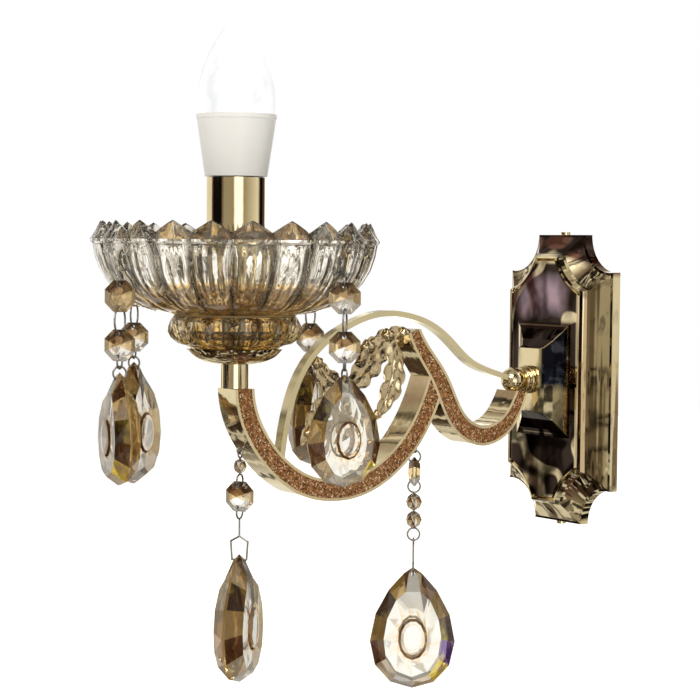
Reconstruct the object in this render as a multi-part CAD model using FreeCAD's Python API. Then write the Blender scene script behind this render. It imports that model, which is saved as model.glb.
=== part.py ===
"""Crystal wall sconce: cast back plate, S-shaped two-piece arm, candle on a glass dish, crystal strings.

Frame: millimetres, +Z up. The wall is the plane Y = 0 and the sconce stands out towards -Y.
X = 0 is the plane of the arm, and Z = 0 is the middle of the back plate.
"""

import FreeCAD
import Part
import math
import os

V = FreeCAD.Vector

# ---------------------------------------------------------------- driving dimensions
# general clearances
FIT = 0.05            # gap between parts that are assembled and stay put
RUN = 0.06            # radial gap of the bulb's thread in its holder
WIRE_R = 0.45         # crystal wire

# back plate
PLATE_W = 79.0
PLATE_H = 148.0
SCOOP_X = 37.0        # centre of a corner scoop, from the plate's middle
SCOOP_R = 19.0
LIP_D = 4.9           # depth of the square edge at the wall
BEVEL_Y = 11.6        # where the bevel ends, from the wall
BEVEL_IN = 9.4        # how far the bevel draws in
BEAD_Y = 15.4         # crest of the bead ridge
PANEL_Y = 16.0        # flat panel, from the wall
PANEL_IN = 13.6
PLATE_WALL = 1.5
BOSS_Y = 26.0         # front of the boss, from the wall
BOSS_BASE = (21.5, 30.0)
BOSS_FACE = (8.0, 16.0)

# wall bracket
STRAP_W = 20.0
STRAP_T = 1.5
STRAP_GAP = 0.6       # between the bracket's ears and the plate's edge
EAR_D = 4.7
EAR_W = 12.0
SLOT_PITCH = 76.0
SLOT_W = 4.6
SLOT_L = 14.0
CABLE_HOLE_R = 7.0
PLATE_SCREW_R = 1.5
PLATE_SCREW_HEAD_R = 2.7
PLATE_SCREW_HEAD_T = 1.4
DRIVER_SLOT_W = 0.7
DRIVER_SLOT_D = 0.4

# terminal block on the bracket
TERMINAL_W = 17.0
TERMINAL_FRONT = 9.6  # from the wall
TERMINAL_Z = (-26.0, -11.0)
TERMINAL_PITCH = 8.4
TERMINAL_WAY_Y = 5.6  # the wire ways' axis, from the wall
TERMINAL_WAY_R = 1.4
TERMINAL_SCREW_R = 1.3
TERMINAL_SCREW_Z = (-22.5, -14.5)
TERMINAL_SCREW_Y = (9.2, 7.0)

# entry: nipple, collar and ball
NIPPLE_R = 4.0
NIPPLE_BORE_R = 2.8
NIPPLE_BACK = 6.6     # how far the nipple stands behind the boss's face
NUT_AF = 11.0
NUT_T = 3.0
WASHER_R = 6.2
WASHER_T = 0.8
COLLAR_RINGS = ((7.2, 2.6), (5.8, 0.8), (6.6, 1.8))   # radius and length, from the boss outwards
BALL_R = 6.3
BALL_FLAT = 5.0       # from the ball's centre down to the seat on the arm

# arms (side faces are X = +-ARM_W / 2)
ARM_W = 15.4
INLAY_RIM = 1.4
INLAY_DEPTH = 1.4
INLAY_T = 1.1
DUCT_W = 6.0
DUCT_T = 4.2
WIRE_CORE = 1.5
WIRE_WAY_R = 2.7      # the wires' way down through the ball
WIRE_CORE_X = 1.4
# the wires' way: forwards from the terminals, heights up the stem, how far they stand above it
WIRE_LEAD = ((-5.6, -10.5), (-5.8, -5.0), (-9.0, -1.4), (-14.0, 0.0), (-24.0, 0.0))
WIRE_RISE = (2.0, 20.0, 40.0)
WIRE_TOP = 3.0
CUP_Y = -202.5        # the candle's axis, from the wall
POST_Z = 0.8          # where the post stands on the arm
LOWER_ARM = ((CUP_Y + 0.9, POST_Z), (CUP_Y + 3.7, -13.0), (-190.0, -28.0), (-180.6, -37.6), (-167.0, -45.8),
             (-151.1, -48.9), (-135.5, -47.2), (-119.8, -39.9), (-107.5, -29.2), (-98.2, -16.0), (-90.5, 2.0))
LOWER_ARM_T = 10.4
UPPER_ARM = ((-104.2, 25.6), (-97.1, 13.8), (-89.9, 4.3), (-85.0, -4.4), (-81.3, -12.0), (-75.8, -19.8),
             (-68.4, -24.9), (-60.6, -26.8), (-52.6, -25.2), (-45.4, -20.6), (-40.2, -13.6),
             (-38.3, -BALL_FLAT))
UPPER_ARM_T = (7.4, 8.6, 9.6, 10.2, 10.4, 10.4, 10.2, 10.0, 9.6, 9.0, 8.2, 7.2)

# scroll strap
SCROLL = ((-40.0, 1.2), (-56.2, 6.0), (-64.5, 9.6), (-78.3, 20.8), (-91.5, 29.4), (-104.5, 33.4),
          (-116.0, 34.7), (-128.1, 33.2), (-141.0, 28.4), (-155.0, 20.0), (-166.0, 7.6),
          (-173.0, -8.8), (-176.0, -22.0), (-178.4, -40.0))
SCROLL_W = 5.6
SCROLL_T = 2.8

# leaf and flower ornament
FLOWER_Y = -141.0
FLOWER_Z = -3.0
FLOWER_T = 2.4
FLOWER_BOSS_R = 6.5
FLOWER_SQUASH = 0.62  # the boss's depth over its height
RIB_R = (1.7, 0.7)    # a leaf's rib, at its root and near its tip
BUD_R = 2.3
BUDS_ALONG = (0.34, 0.56, 0.76)
# each leaf's angle from the way to the wall, its length and its width
LEAVES = ((36, 45.0, 13.0), (-31, 24.0, 11.0), (226, 34.0, 12.0), (137, 22.0, 11.0), (262, 23.0, 11.0))

# candle: heights along the post's axis
POST_R = 6.5
POST_STEP = 2.0       # the post's floor under the stem
HOLDER_Z = 12.4
HOLDER_R = (12.6, 18.2, 22.4)   # foot, middle and rim of the bowl under the small cup
HOLDER_H = 7.0
HOLDER_T = 1.4
GLASS_CUP_Z = 15.0
GLASS_CUP_R = 31.0
GLASS_CUP_TOP = 34.2
GLASS_WALL = 3.6
DIMPLES = 16
DIMPLE_R = 6.0
DIMPLE_OUT = 4.3      # a dimple's centre, outside the cup's widest circle
DIMPLE_UP = 11.0      # and above the cup's foot
CUSHION_T = 0.8
CUSHION_R = 12.0
DISH_R = 66.0
DISH_Z = 35.0
DISH_RIDGE_Z = 69.0
DISH_TIP_Z = 77.6
DISH_WALL = 4.2
DISH_RIM_T = 6.0      # the rim's thickness below the ridge
DISH_FOOT_R = 30.5
NOTCH_LIFT = 3.0      # how far the notches are cut above the petals' tips
DISH_PETALS = 22
PETAL_TURN = -41.4    # angle of one petal's middle, from +X
FLUTE_R = 2.1
STEM_R = 5.0
STEM_BORE_R = 3.6
STEM_TOP = 61.0
STEM_NUT_AF = 17.0
STEM_NUT_T = 4.0
SLEEVE_R = 13.65
SLEEVE_WALL = 0.8
SLEEVE_TOP = 97.9
HOLDER_BODY_R = 12.2
HOLDER_BODY_TOP = 97.0
HOLDER_BASE_R = 9.5
HOLDER_BASE_H = 8.0   # how far the base reaches down the stem
HOLDER_FLOOR = 4.0    # from the bulb's tip contact down to the holder's floor
CONTACT_HALF = 1.6    # half the width of the sprung tongue
CONTACT_T = 0.45
CONTACT_GAP = 0.15    # from the tongue to the bulb's tip contact
THREAD_R = 6.9        # E14 cap over its thread
CAP_LEN = 23.5
CAP_WALL = 0.45
THREAD_PITCH = 2.8
SHELL_T = 0.5
BULB_BASE_Z = 98.4
BULB_R = 18.5
BULB_NECK_R = 14.4
BULB_SPLIT_Z = 126.8
BULB_TIP_Z = 175.4
BULB_WALL = 1.1
BOARD_T = 1.6

# crystals
BEAD_AF = 14.0
BEAD_T = 6.6
BEAD_HOLE_IN = 2.3    # hole's centre from the bead's flat edge
HOLE_R = 1.15
LINK_R = 6.3          # large ring between two beads, at the wire's middle
RING_R = 3.0          # small ring
ROUND_BEAD = 8.0
SMALL_BEAD = 6.4
DISH_HANG_R = 65.6    # the strings' distance from the candle's axis
DISH_HOLE_Z = 55.5
DISH_HOLE_R = 1.4
HOOK_IN = 9.6         # the hook's length through the dish's wall
HOOK_UP = 3.2         # its turned-up end
HOOK_DOWN = 1.6       # and its drop to the eye outside
EYE_SINK = 0.3        # how far an eye's wire sinks into the wire that carries it
PENDANT_HOLE_IN = 3.0  # hole's centre below the pendant's tip
# name, which groove it hangs in, pendant height and width, bead facing, pendant facing
DISH_STRINGS = (("front", -3, 50.0, 35.0, -50.0, -100.0),
                ("left", 14, 59.0, 41.0, -45.0, 30.0),
                ("right", 3, 50.0, 35.0, -42.0, -12.0),
                ("back", 9, 50.0, 35.0, -55.0, 30.0))
PENDANT_T = 0.34      # thickness over width
PEAR_FULLNESS = 0.6   # lower is rounder towards a pendant's tip
NECK_T = 1.4          # a pendant's thickness at its tip
NECK_SHARE = 0.42     # the share of its height over which it thins to the tip
CANDLE_SIDE_STRING = (-199.2, -28.2)   # Y and Z of the wire eye on the lower arm
CANDLE_SIDE_ROOT = (-194.1, -24.65)    # where its shank ends inside the arm
WALL_SIDE_STRING = (-98.1, -30.5)
WALL_SIDE_ROOT = (-102.25, -27.15)
CANDLE_SIDE_FACING = (-60.0, 38.0)     # way that the octagon and the pendant face
WALL_SIDE_FACING = (55.0, -35.0)
ARM_PENDANT = (60.0, 41.5)
BEAD_ROOM = (0.2, 0.9)                 # wire above and below the small bead
ROUND_ROOM = (0.6, 0.8)                # wire at the ends of the two round beads, and between them
BAIL_STEM = 7.0
BAIL_SHAPE = ((0.0, 0.0), (4.2, -2.4), (3.6, -11.0))   # from its apex, half across and down
LONG_PIN = 9.0
EYE_R = 1.5
RING_SEAM = 33.0      # turns a wire ring's joint away from what touches it
BEND_SWELL = 1.04     # a bend is this much thicker than the wire


# ---------------------------------------------------------------- helpers
def box(x0, x1, y0, y1, z0, z1):
    return Part.makeBox(x1 - x0, y1 - y0, z1 - z0, V(x0, y0, z0))


def rod(radius, start, end):
    start, end = V(*start), V(*end)
    return Part.makeCylinder(radius, start.distanceToPoint(end), start, end - start)


def turned(profile, curved=()):
    """A solid turned on the candle's axis from (radius, z) points; curved lists runs made as one spline."""
    points = [V(r, CUP_Y, z) for r, z in profile]
    edges, i = [], 0
    spans = dict(curved)
    while i < len(points):
        j = spans.get(i, i + 1)
        if j == i + 1:
            edges.append(Part.LineSegment(points[i], points[j % len(points)]).toShape())
        else:
            curve = Part.BSplineCurve()
            curve.interpolate(points[i:j + 1])
            edges.append(curve.toShape())
        i = j
    return Part.Face(Part.Wire(edges)).revolve(V(0, CUP_Y, 0), V(0, 0, 1), 360)


def tube(outer, inner, z0, z1):
    return turned([(inner, z0), (outer, z0), (outer, z1), (inner, z1)])


def hexagon(flats, z0, z1, bore):
    corner = flats / math.sqrt(3)
    ring = [V(corner * math.cos(math.radians(60 * k)), corner * math.sin(math.radians(60 * k)), z0)
            for k in range(6)]
    solid = Part.Face(Part.makePolygon(ring + ring[:1])).extrude(V(0, 0, z1 - z0))
    return solid.cut(Part.makeCylinder(bore, z1 - z0, V(0, 0, z0)))


def band(points, thickness, x0, x1):
    """A curved bar in the arm's plane through (y, z) points, its thickness one value or a list."""
    line = Part.BSplineCurve()
    line.interpolate([V(0, y, z) for y, z in points])
    if not isinstance(thickness, (tuple, list)):
        thickness = [thickness] * len(points)
    sides = {1: [], -1: []}
    for (y, z), t in zip(points, thickness):
        at = line.parameter(V(0, y, z))
        along = line.tangent(at)[0]
        across = V(0, -along.z, along.y)
        for side in sides:
            sides[side].append(V(x0, y, z) + across * (side * t / 2))
    curves = []
    for side in sides:
        curve = Part.BSplineCurve()
        curve.interpolate(sides[side])
        curves.append(curve.toShape())
    ends = [Part.LineSegment(sides[1][k], sides[-1][k]).toShape() for k in (0, -1)]
    wire = Part.Wire(Part.__sortEdges__(curves + ends))
    return Part.Face(wire).extrude(V(x1 - x0, 0, 0))


def torus_ring(centre, radius, facing, wire=WIRE_R):
    """A closed wire ring; facing is the angle of its flat side's normal round Z, in degrees."""
    normal = V(math.cos(math.radians(facing)), math.sin(math.radians(facing)), 0)
    ring = Part.makeTorus(radius, wire, centre, normal)
    ring.rotate(centre, normal, RING_SEAM)
    return ring


def joined(first, *others):
    """Wire pieces fused one at a time into one solid."""
    for piece in others:
        first = first.fuse(piece)
    return first


def bent_wire(spots):
    """A wire along straight runs with rounded corners."""
    pieces = []
    for p, q in zip(spots, spots[1:]):
        pieces.append(Part.makeCylinder(WIRE_R, p.distanceToPoint(q), p, q - p))
        pieces.append(Part.makeSphere(WIRE_R * BEND_SWELL, q))
    return joined(*pieces[:-1])


def facing_frame(shape, centre, facing):
    """Turns a shape made with its face along +X to the angle facing, and moves it to centre."""
    shape.rotate(V(0, 0, 0), V(0, 0, 1), facing)
    shape.translate(centre)
    return shape


def stacked(outline, layers):
    """A faceted solid: the (y, z) outline scaled about a centre height at each (x, scale, z_centre) layer."""
    wires = []
    for x, scale, middle in layers:
        ring = [V(x, y * scale, middle + (z - middle) * scale) for y, z in outline]
        wires.append(Part.makePolygon(ring + ring[:1]))
    return Part.makeLoft(wires, True, True)


def save(name, shapes):
    shapes = shapes if isinstance(shapes, list) else [shapes]
    solids = [solid for shape in shapes for solid in shape.Solids]
    for solid in solids:
        if not solid.isValid() or solid.Volume <= 0:
            print("check this solid:", name, solid.Volume)
    shape = solids[0] if len(solids) == 1 else Part.makeCompound(solids)
    shape.exportStep(os.path.join("parts", name + ".step"))
    print(name, len(solids), round(sum(s.Volume for s in solids), 1))


# ---------------------------------------------------------------- back plate and bracket
def plate_outline(inset, y):
    """The notched outline drawn in by inset: four straight sides and four concave corner scoops."""
    w, h, r = PLATE_W / 2 - inset, PLATE_H / 2 - inset, SCOOP_R + inset
    cz = PLATE_H / 2
    tab = SCOOP_X - math.sqrt(r * r - (cz - h) ** 2)
    shoulder = cz - math.sqrt(r * r - (SCOOP_X - w) ** 2)
    turn0, turn1 = math.atan2(h - cz, tab - SCOOP_X), math.atan2(shoulder - cz, w - SCOOP_X)
    middle = (turn0 % (2 * math.pi) + turn1 % (2 * math.pi)) / 2
    mid = (SCOOP_X + r * math.cos(middle), cz + r * math.sin(middle))
    edges = []
    for sx, sz in ((1, 1), (1, -1), (-1, -1), (-1, 1)):
        arc = (V(sx * tab, y, sz * h), V(sx * mid[0], y, sz * mid[1]), V(sx * w, y, sz * shoulder))
        edges.append(Part.Arc(*(arc if sx * sz > 0 else arc[::-1])).toShape())
    corners = [(w, shoulder, w, -shoulder), (tab, -h, -tab, -h),
               (-w, -shoulder, -w, shoulder), (-tab, h, tab, h)]
    for k, (x0, z0, x1, z1) in enumerate(corners):
        edges.insert(2 * k + 1, Part.LineSegment(V(x0, y, z0), V(x1, y, z1)).toShape())
    return Part.Wire(edges)


def boss_loft(shrink, base_y, front_y):
    rings = []
    for part in (0.0, 0.16, 0.42, 0.72, 1.0):
        ease = 1 - (1 - part) ** 2.1
        w = BOSS_BASE[0] + (BOSS_FACE[0] - BOSS_BASE[0]) * ease - shrink
        h = BOSS_BASE[1] + (BOSS_FACE[1] - BOSS_BASE[1]) * ease - shrink
        y = -(base_y + (front_y - base_y) * part)
        rings.append(Part.makePolygon([V(w, y, h), V(w, y, -h), V(-w, y, -h), V(-w, y, h), V(w, y, h)]))
    return Part.makeLoft(rings, True, True)


def wall_plate():
    crest_in = (BEVEL_IN + PANEL_IN) / 2
    outside = ((0, 0), (0, LIP_D), (1.2, LIP_D + 0.5), (BEVEL_IN, BEVEL_Y), (BEVEL_IN + 0.4, BEVEL_Y + 1.6),
               (crest_in - 0.6, BEAD_Y - 0.2), (crest_in + 0.6, BEAD_Y), (PANEL_IN - 0.7, BEVEL_Y + 2.6),
               (PANEL_IN, PANEL_Y))
    shell = Part.makeLoft([plate_outline(inset, -y) for inset, y in outside], True, True)
    inside = ((PLATE_WALL, -1.0), (PLATE_WALL, LIP_D), (BEVEL_IN + PLATE_WALL, BEVEL_Y - 0.4),
              (PANEL_IN + PLATE_WALL, PANEL_Y - PLATE_WALL))
    shell = shell.cut(Part.makeLoft([plate_outline(inset, -y) for inset, y in inside], True, True))
    shell = shell.fuse(boss_loft(0, PANEL_Y - 0.3, BOSS_Y))
    shell = shell.cut(boss_loft(PLATE_WALL, PANEL_Y - PLATE_WALL - 0.3, BOSS_Y - PLATE_WALL))
    shell = shell.cut(rod(NIPPLE_R + FIT, (0, 0, 0), (0, -BOSS_Y - 1, 0)))
    half = PLATE_H / 2
    for side in (1, -1):
        ends = [(0, -LIP_D / 2, side * z) for z in (half - 3 * PLATE_WALL, half + 1)]
        shell = shell.cut(rod(PLATE_SCREW_R + FIT, *ends))
    return shell.removeSplitter()


def ear_face_z():
    return PLATE_H / 2 - PLATE_WALL - STRAP_GAP


def wall_bracket():
    half = ear_face_z()
    strap = box(-STRAP_W / 2, STRAP_W / 2, -STRAP_T, 0, -half, half)
    for side in (1, -1):
        near, far = sorted((side * half, side * (half - STRAP_T)))
        strap = strap.fuse(box(-EAR_W / 2, EAR_W / 2, -EAR_D, 0, near, far))
        strap = strap.cut(rod(PLATE_SCREW_R + FIT, (0, -LIP_D / 2, side * (half - 4 * STRAP_T)),
                              (0, -LIP_D / 2, side * (half + 1))))
        middle = side * SLOT_PITCH / 2
        run = (SLOT_L - SLOT_W) / 2
        strap = strap.cut(box(-SLOT_W / 2, SLOT_W / 2, -STRAP_T - 1, 1, middle - run, middle + run))
        for end in (middle - run, middle + run):
            strap = strap.cut(rod(SLOT_W / 2, (0, 1, end), (0, -STRAP_T - 1, end)))
    strap = strap.cut(rod(CABLE_HOLE_R, (0, 1, 0), (0, -STRAP_T - 1, 0)))
    return strap.removeSplitter()


def plate_screws():
    screws = []
    half = PLATE_H / 2
    under_head = half + FIT
    top = under_head + PLATE_SCREW_HEAD_T
    for side in (1, -1):
        shank = rod(PLATE_SCREW_R, (0, -LIP_D / 2, side * (ear_face_z() - 2 * STRAP_T)),
                    (0, -LIP_D / 2, side * (under_head + PLATE_SCREW_HEAD_T / 2)))
        head = rod(min(PLATE_SCREW_HEAD_R, LIP_D / 2), (0, -LIP_D / 2, side * under_head),
                   (0, -LIP_D / 2, side * top))
        slot_z = sorted((side * (top - DRIVER_SLOT_D), side * (top + 1)))
        slot = box(-DRIVER_SLOT_W / 2, DRIVER_SLOT_W / 2, -LIP_D, 0, *slot_z)
        screws.append(shank.fuse(head).cut(slot).removeSplitter())
    return screws


# ---------------------------------------------------------------- entry
def collar_front():
    return -(BOSS_Y + FIT + sum(length for _, length in COLLAR_RINGS))


def ball_y():
    return collar_front() - FIT - math.sqrt(BALL_R ** 2 - NIPPLE_R ** 2)


def entry_nipple():
    back = -(BOSS_Y - PLATE_WALL - NIPPLE_BACK)
    body = rod(NIPPLE_R, (0, back, 0), (0, ball_y() + 2.0, 0))
    return body.cut(rod(NIPPLE_BORE_R, (0, back + 1, 0), (0, ball_y() - 4, 0)))


def nipple_washer():
    y = -(BOSS_Y - PLATE_WALL) + FIT
    ring = rod(WASHER_R, (0, y, 0), (0, y + WASHER_T, 0))
    return ring.cut(rod(NIPPLE_R + FIT, (0, y - 1, 0), (0, y + WASHER_T + 1, 0)))


def nipple_nut():
    nut = hexagon(NUT_AF, 0, NUT_T, NIPPLE_R + FIT)
    nut.rotate(V(0, 0, 0), V(1, 0, 0), -90)
    nut.translate(V(0, -(BOSS_Y - PLATE_WALL) + WASHER_T + 2 * FIT, 0))
    return nut


def boss_collar():
    y = -(BOSS_Y + FIT)
    rings = []
    for radius, length in COLLAR_RINGS:
        ring = rod(radius, (0, y, 0), (0, y - length, 0))
        if length > 1:
            ring = ring.makeFillet(min(0.42 * length, 0.8), ring.Edges)
        rings.append(ring)
        y -= length
    core = rod(COLLAR_RINGS[1][0] - 0.4, (0, -(BOSS_Y + FIT), 0), (0, y, 0))
    body = core.fuse(rings)
    return body.cut(rod(NIPPLE_R + FIT, (0, 0, 0), (0, y - 1, 0))).removeSplitter()


def knuckle_ball():
    centre = V(0, ball_y(), 0)
    ball = Part.makeSphere(BALL_R, centre)
    ball = ball.cut(box(-BALL_R, BALL_R, ball_y() - BALL_R, ball_y() + BALL_R, -BALL_R - 1, -BALL_FLAT + FIT))
    ball = ball.cut(rod(NIPPLE_R + FIT, (0, ball_y(), 0), (0, 0, 0)))
    ball = ball.cut(Part.makeSphere(NIPPLE_R, centre))
    return ball.cut(rod(WIRE_WAY_R, (0, ball_y(), 0), (0, ball_y(), -BALL_R - 1))).removeSplitter()


def terminal_block():
    low, high = TERMINAL_Z
    half = TERMINAL_W / 2
    block = box(-half, half, -TERMINAL_FRONT, -STRAP_T - FIT, low, high)
    block = block.makeFillet(1.0, [e for e in block.Edges if abs(e.tangentAt(0).z) > 0.9])
    for x in (-TERMINAL_PITCH / 2, TERMINAL_PITCH / 2):
        block = block.cut(rod(TERMINAL_WAY_R, (x, -TERMINAL_WAY_Y, low - 1), (x, -TERMINAL_WAY_Y, high + 1)))
        for z in TERMINAL_SCREW_Z:
            block = block.cut(rod(TERMINAL_SCREW_R, (x, -TERMINAL_FRONT - 1, z), (x, -TERMINAL_WAY_Y, z)))
    return block


def terminal_screws():
    front, back = TERMINAL_SCREW_Y
    return [rod(TERMINAL_SCREW_R - FIT, (x, -front, z), (x, -back, z))
            for x in (-TERMINAL_PITCH / 2, TERMINAL_PITCH / 2) for z in TERMINAL_SCREW_Z]


# ---------------------------------------------------------------- arms
def upper_arm_points():
    return UPPER_ARM[:-1] + ((ball_y(), -BALL_FLAT),)


def arm_body(points, thickness):
    half = ARM_W / 2
    body = band(points, thickness, -half, half)
    thin = [t - 2 * INLAY_RIM for t in thickness]
    for x0, x1 in ((half - INLAY_DEPTH, half + 1), (-half - 1, -half + INLAY_DEPTH)):
        body = body.cut(band(points, thin, x0, x1))
    return body


def duct(points):
    return band(points, DUCT_T, -DUCT_W / 2, DUCT_W / 2)


def inlay(points, thickness, side):
    thin = [t - 2 * INLAY_RIM - 2 * FIT for t in thickness]
    floor = ARM_W / 2 - INLAY_DEPTH + FIT
    x0, x1 = sorted((side * floor, side * (floor + INLAY_T)))
    return band(points, thin, x0, x1)


def wire_join():
    """Where the wires pass from the lower arm into the upper one, as (y, z)."""
    y, z = LOWER_ARM[-1]
    return y + 1.5, z + 0.5


def make_arms():
    upper_points, lower_t = upper_arm_points(), [LOWER_ARM_T] * len(LOWER_ARM)
    half = ARM_W / 2
    solid_upper = band(upper_points, UPPER_ARM_T, -half - 1, half + 1)
    above_seat = box(-ARM_W, ARM_W, ball_y() - ARM_W, 0, -BALL_FLAT, 0)
    above_post = box(-ARM_W, ARM_W, CUP_Y - ARM_W, CUP_Y + ARM_W, POST_Z, POST_Z + ARM_W)
    upper = arm_body(upper_points, list(UPPER_ARM_T)).cut(duct(upper_points[2:])).cut(duct(LOWER_ARM[-4:]))
    upper = upper.cut(above_seat).cut(Part.makeSphere(DUCT_W / 2, V(0, *wire_join())))
    lower = arm_body(LOWER_ARM, lower_t).cut(duct(LOWER_ARM)).cut(solid_upper).cut(above_post)
    for spot, root in ((CANDLE_SIDE_STRING, CANDLE_SIDE_ROOT), (WALL_SIDE_STRING, WALL_SIDE_ROOT)):
        lower = lower.cut(eye_shank(spot, root, WIRE_R + FIT))
    parts = {"arm_upper": upper, "arm_lower": lower}
    for side, word in ((1, "near"), (-1, "far")):
        parts["inlay_upper_" + word] = inlay(upper_points, list(UPPER_ARM_T), side).cut(above_seat)
        parts["inlay_lower_" + word] = inlay(LOWER_ARM, lower_t, side).cut(solid_upper).cut(above_post)
    return parts


def supply_wires():
    route = [*WIRE_LEAD, (ball_y() + 2.4, -0.2), (ball_y() + 0.2, -2.6), *upper_arm_points()[-2:2:-1],
             wire_join(), *LOWER_ARM[-2:0:-1], *((CUP_Y, z) for z in (*WIRE_RISE, STEM_TOP + WIRE_TOP))]
    wires = []
    for side in (1, -1):
        x0, x1 = sorted((side * (WIRE_CORE_X - WIRE_CORE / 2), side * (WIRE_CORE_X + WIRE_CORE / 2)))
        wires.append(band(route, WIRE_CORE, x0, x1))
    return wires


def scroll_strap(arm_lower_solid):
    strap = band(SCROLL, SCROLL_T, -SCROLL_W / 2, SCROLL_W / 2)
    strap = strap.cut(Part.makeSphere(BALL_R + FIT, V(0, ball_y(), 0)))
    strap = strap.cut(arm_lower_solid)
    return max(strap.Solids, key=lambda s: s.Volume)


def leaf_blade(angle, length, width):
    """One leaf: an outline of two arcs with a raised rib and buds, lying in the arm's plane."""
    root, tip = V(0, 0, 0), V(0, length, 0)
    belly = length * 0.45
    arcs = [Part.Arc(root, V(0, belly, width / 2), tip), Part.Arc(tip, V(0, belly, -width / 2), root)]
    leaf = Part.Face(Part.Wire([arc.toShape() for arc in arcs])).extrude(V(FLOWER_T, 0, 0))
    leaf.translate(V(-FLOWER_T / 2, 0, 0))
    leaf = leaf.fuse(Part.makeCone(*RIB_R, length * 0.86, V(0, 1, 0), V(0, 1, 0)))
    for along in BUDS_ALONG:
        leaf = leaf.fuse(Part.makeSphere(BUD_R, V(0, length * along, 0)))
    leaf.rotate(V(0, 0, 0), V(1, 0, 0), angle)
    leaf.translate(V(0, FLOWER_Y, FLOWER_Z))
    return leaf


def leaf_flower(upper_arm_solid, scroll, lower_arm_solid):
    body = Part.makeSphere(FLOWER_BOSS_R, V(0, FLOWER_Y, FLOWER_Z))
    squash = FreeCAD.Matrix()
    squash.scale(FLOWER_SQUASH, 1, 1)
    body = body.transformGeometry(squash)
    for angle, length, width in LEAVES:
        body = body.fuse(leaf_blade(angle, length, width))
    body = body.cut(upper_arm_solid).cut(scroll).cut(lower_arm_solid)
    return max(body.Solids, key=lambda s: s.Volume)


# ---------------------------------------------------------------- candle
def post():
    """The short column on the arm, counterbored for the stem."""
    step, foot = POST_Z + POST_STEP, POST_Z + FIT
    return turned([(STEM_BORE_R, foot), (POST_R, foot), (POST_R, HOLDER_Z), (STEM_R + FIT, HOLDER_Z),
                   (STEM_R + FIT, step), (STEM_BORE_R, step)])


def stem_rod():
    return tube(STEM_R, STEM_BORE_R, POST_Z + POST_STEP + FIT, STEM_TOP)


def cup_holder():
    z0, z1, wall = HOLDER_Z + FIT, HOLDER_Z + HOLDER_H, HOLDER_T
    foot, middle, rim = HOLDER_R
    return turned([(STEM_R + FIT, z0), (foot, z0), (middle, z0 + 2.4), (rim, z1), (rim - wall, z1),
                   (middle - 0.8, z0 + 2.5 + wall), (foot - 0.4, z0 + wall), (STEM_R + FIT, z0 + wall)],
                  [(1, 3), (4, 6)])


def lower_glass_cup():
    z0, top, r = GLASS_CUP_Z, GLASS_CUP_TOP, GLASS_CUP_R
    seat, rest = HOLDER_R[0] - 1.6, HOLDER_R[2] - HOLDER_T
    bore = STEM_R + 0.4
    body = turned([(bore, z0), (seat, z0), (HOLDER_R[1] - 1.6, z0 + 1.9), (rest - 0.4, z0 + 5.0),
                   (r - 3.5, z0 + 7.0), (r, z0 + 11.5), (r - 1.0, top - 2.5), (r - 2.2, top),
                   (r - 2.2 - GLASS_WALL, top), (r - 2.0 - GLASS_WALL, top - 6.0), (r - 9.0, z0 + 7.5),
                   (seat, z0 + GLASS_WALL), (bore, z0 + GLASS_WALL)])
    reach = r + DIMPLE_OUT
    for k in range(DIMPLES):
        turn = math.radians(360 * (k + 0.5) / DIMPLES)
        centre = V(reach * math.cos(turn), CUP_Y + reach * math.sin(turn), z0 + DIMPLE_UP)
        body = body.cut(Part.makeSphere(DIMPLE_R, centre))
    return body


def cushion_washers():
    """One ring under the small cup, one under the dish and one on the dish's floor, below the nut."""
    bore = STEM_R + FIT
    low = HOLDER_Z + FIT + HOLDER_T + FIT
    rings = [tube(CUSHION_R, bore, low, GLASS_CUP_Z - FIT)]
    rings.append(tube(GLASS_CUP_R - 3.0, GLASS_CUP_R - 5.0, GLASS_CUP_TOP + FIT, DISH_Z - FIT))
    floor = DISH_Z + DISH_WALL
    rings.append(tube(CUSHION_R, bore, floor + FIT, floor + FIT + CUSHION_T))
    return rings


def groove_angle(k):
    """Way from the candle to the groove between petal k and the next, in degrees from +X."""
    return PETAL_TURN + 360 / DISH_PETALS * (k + 0.5)


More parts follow.
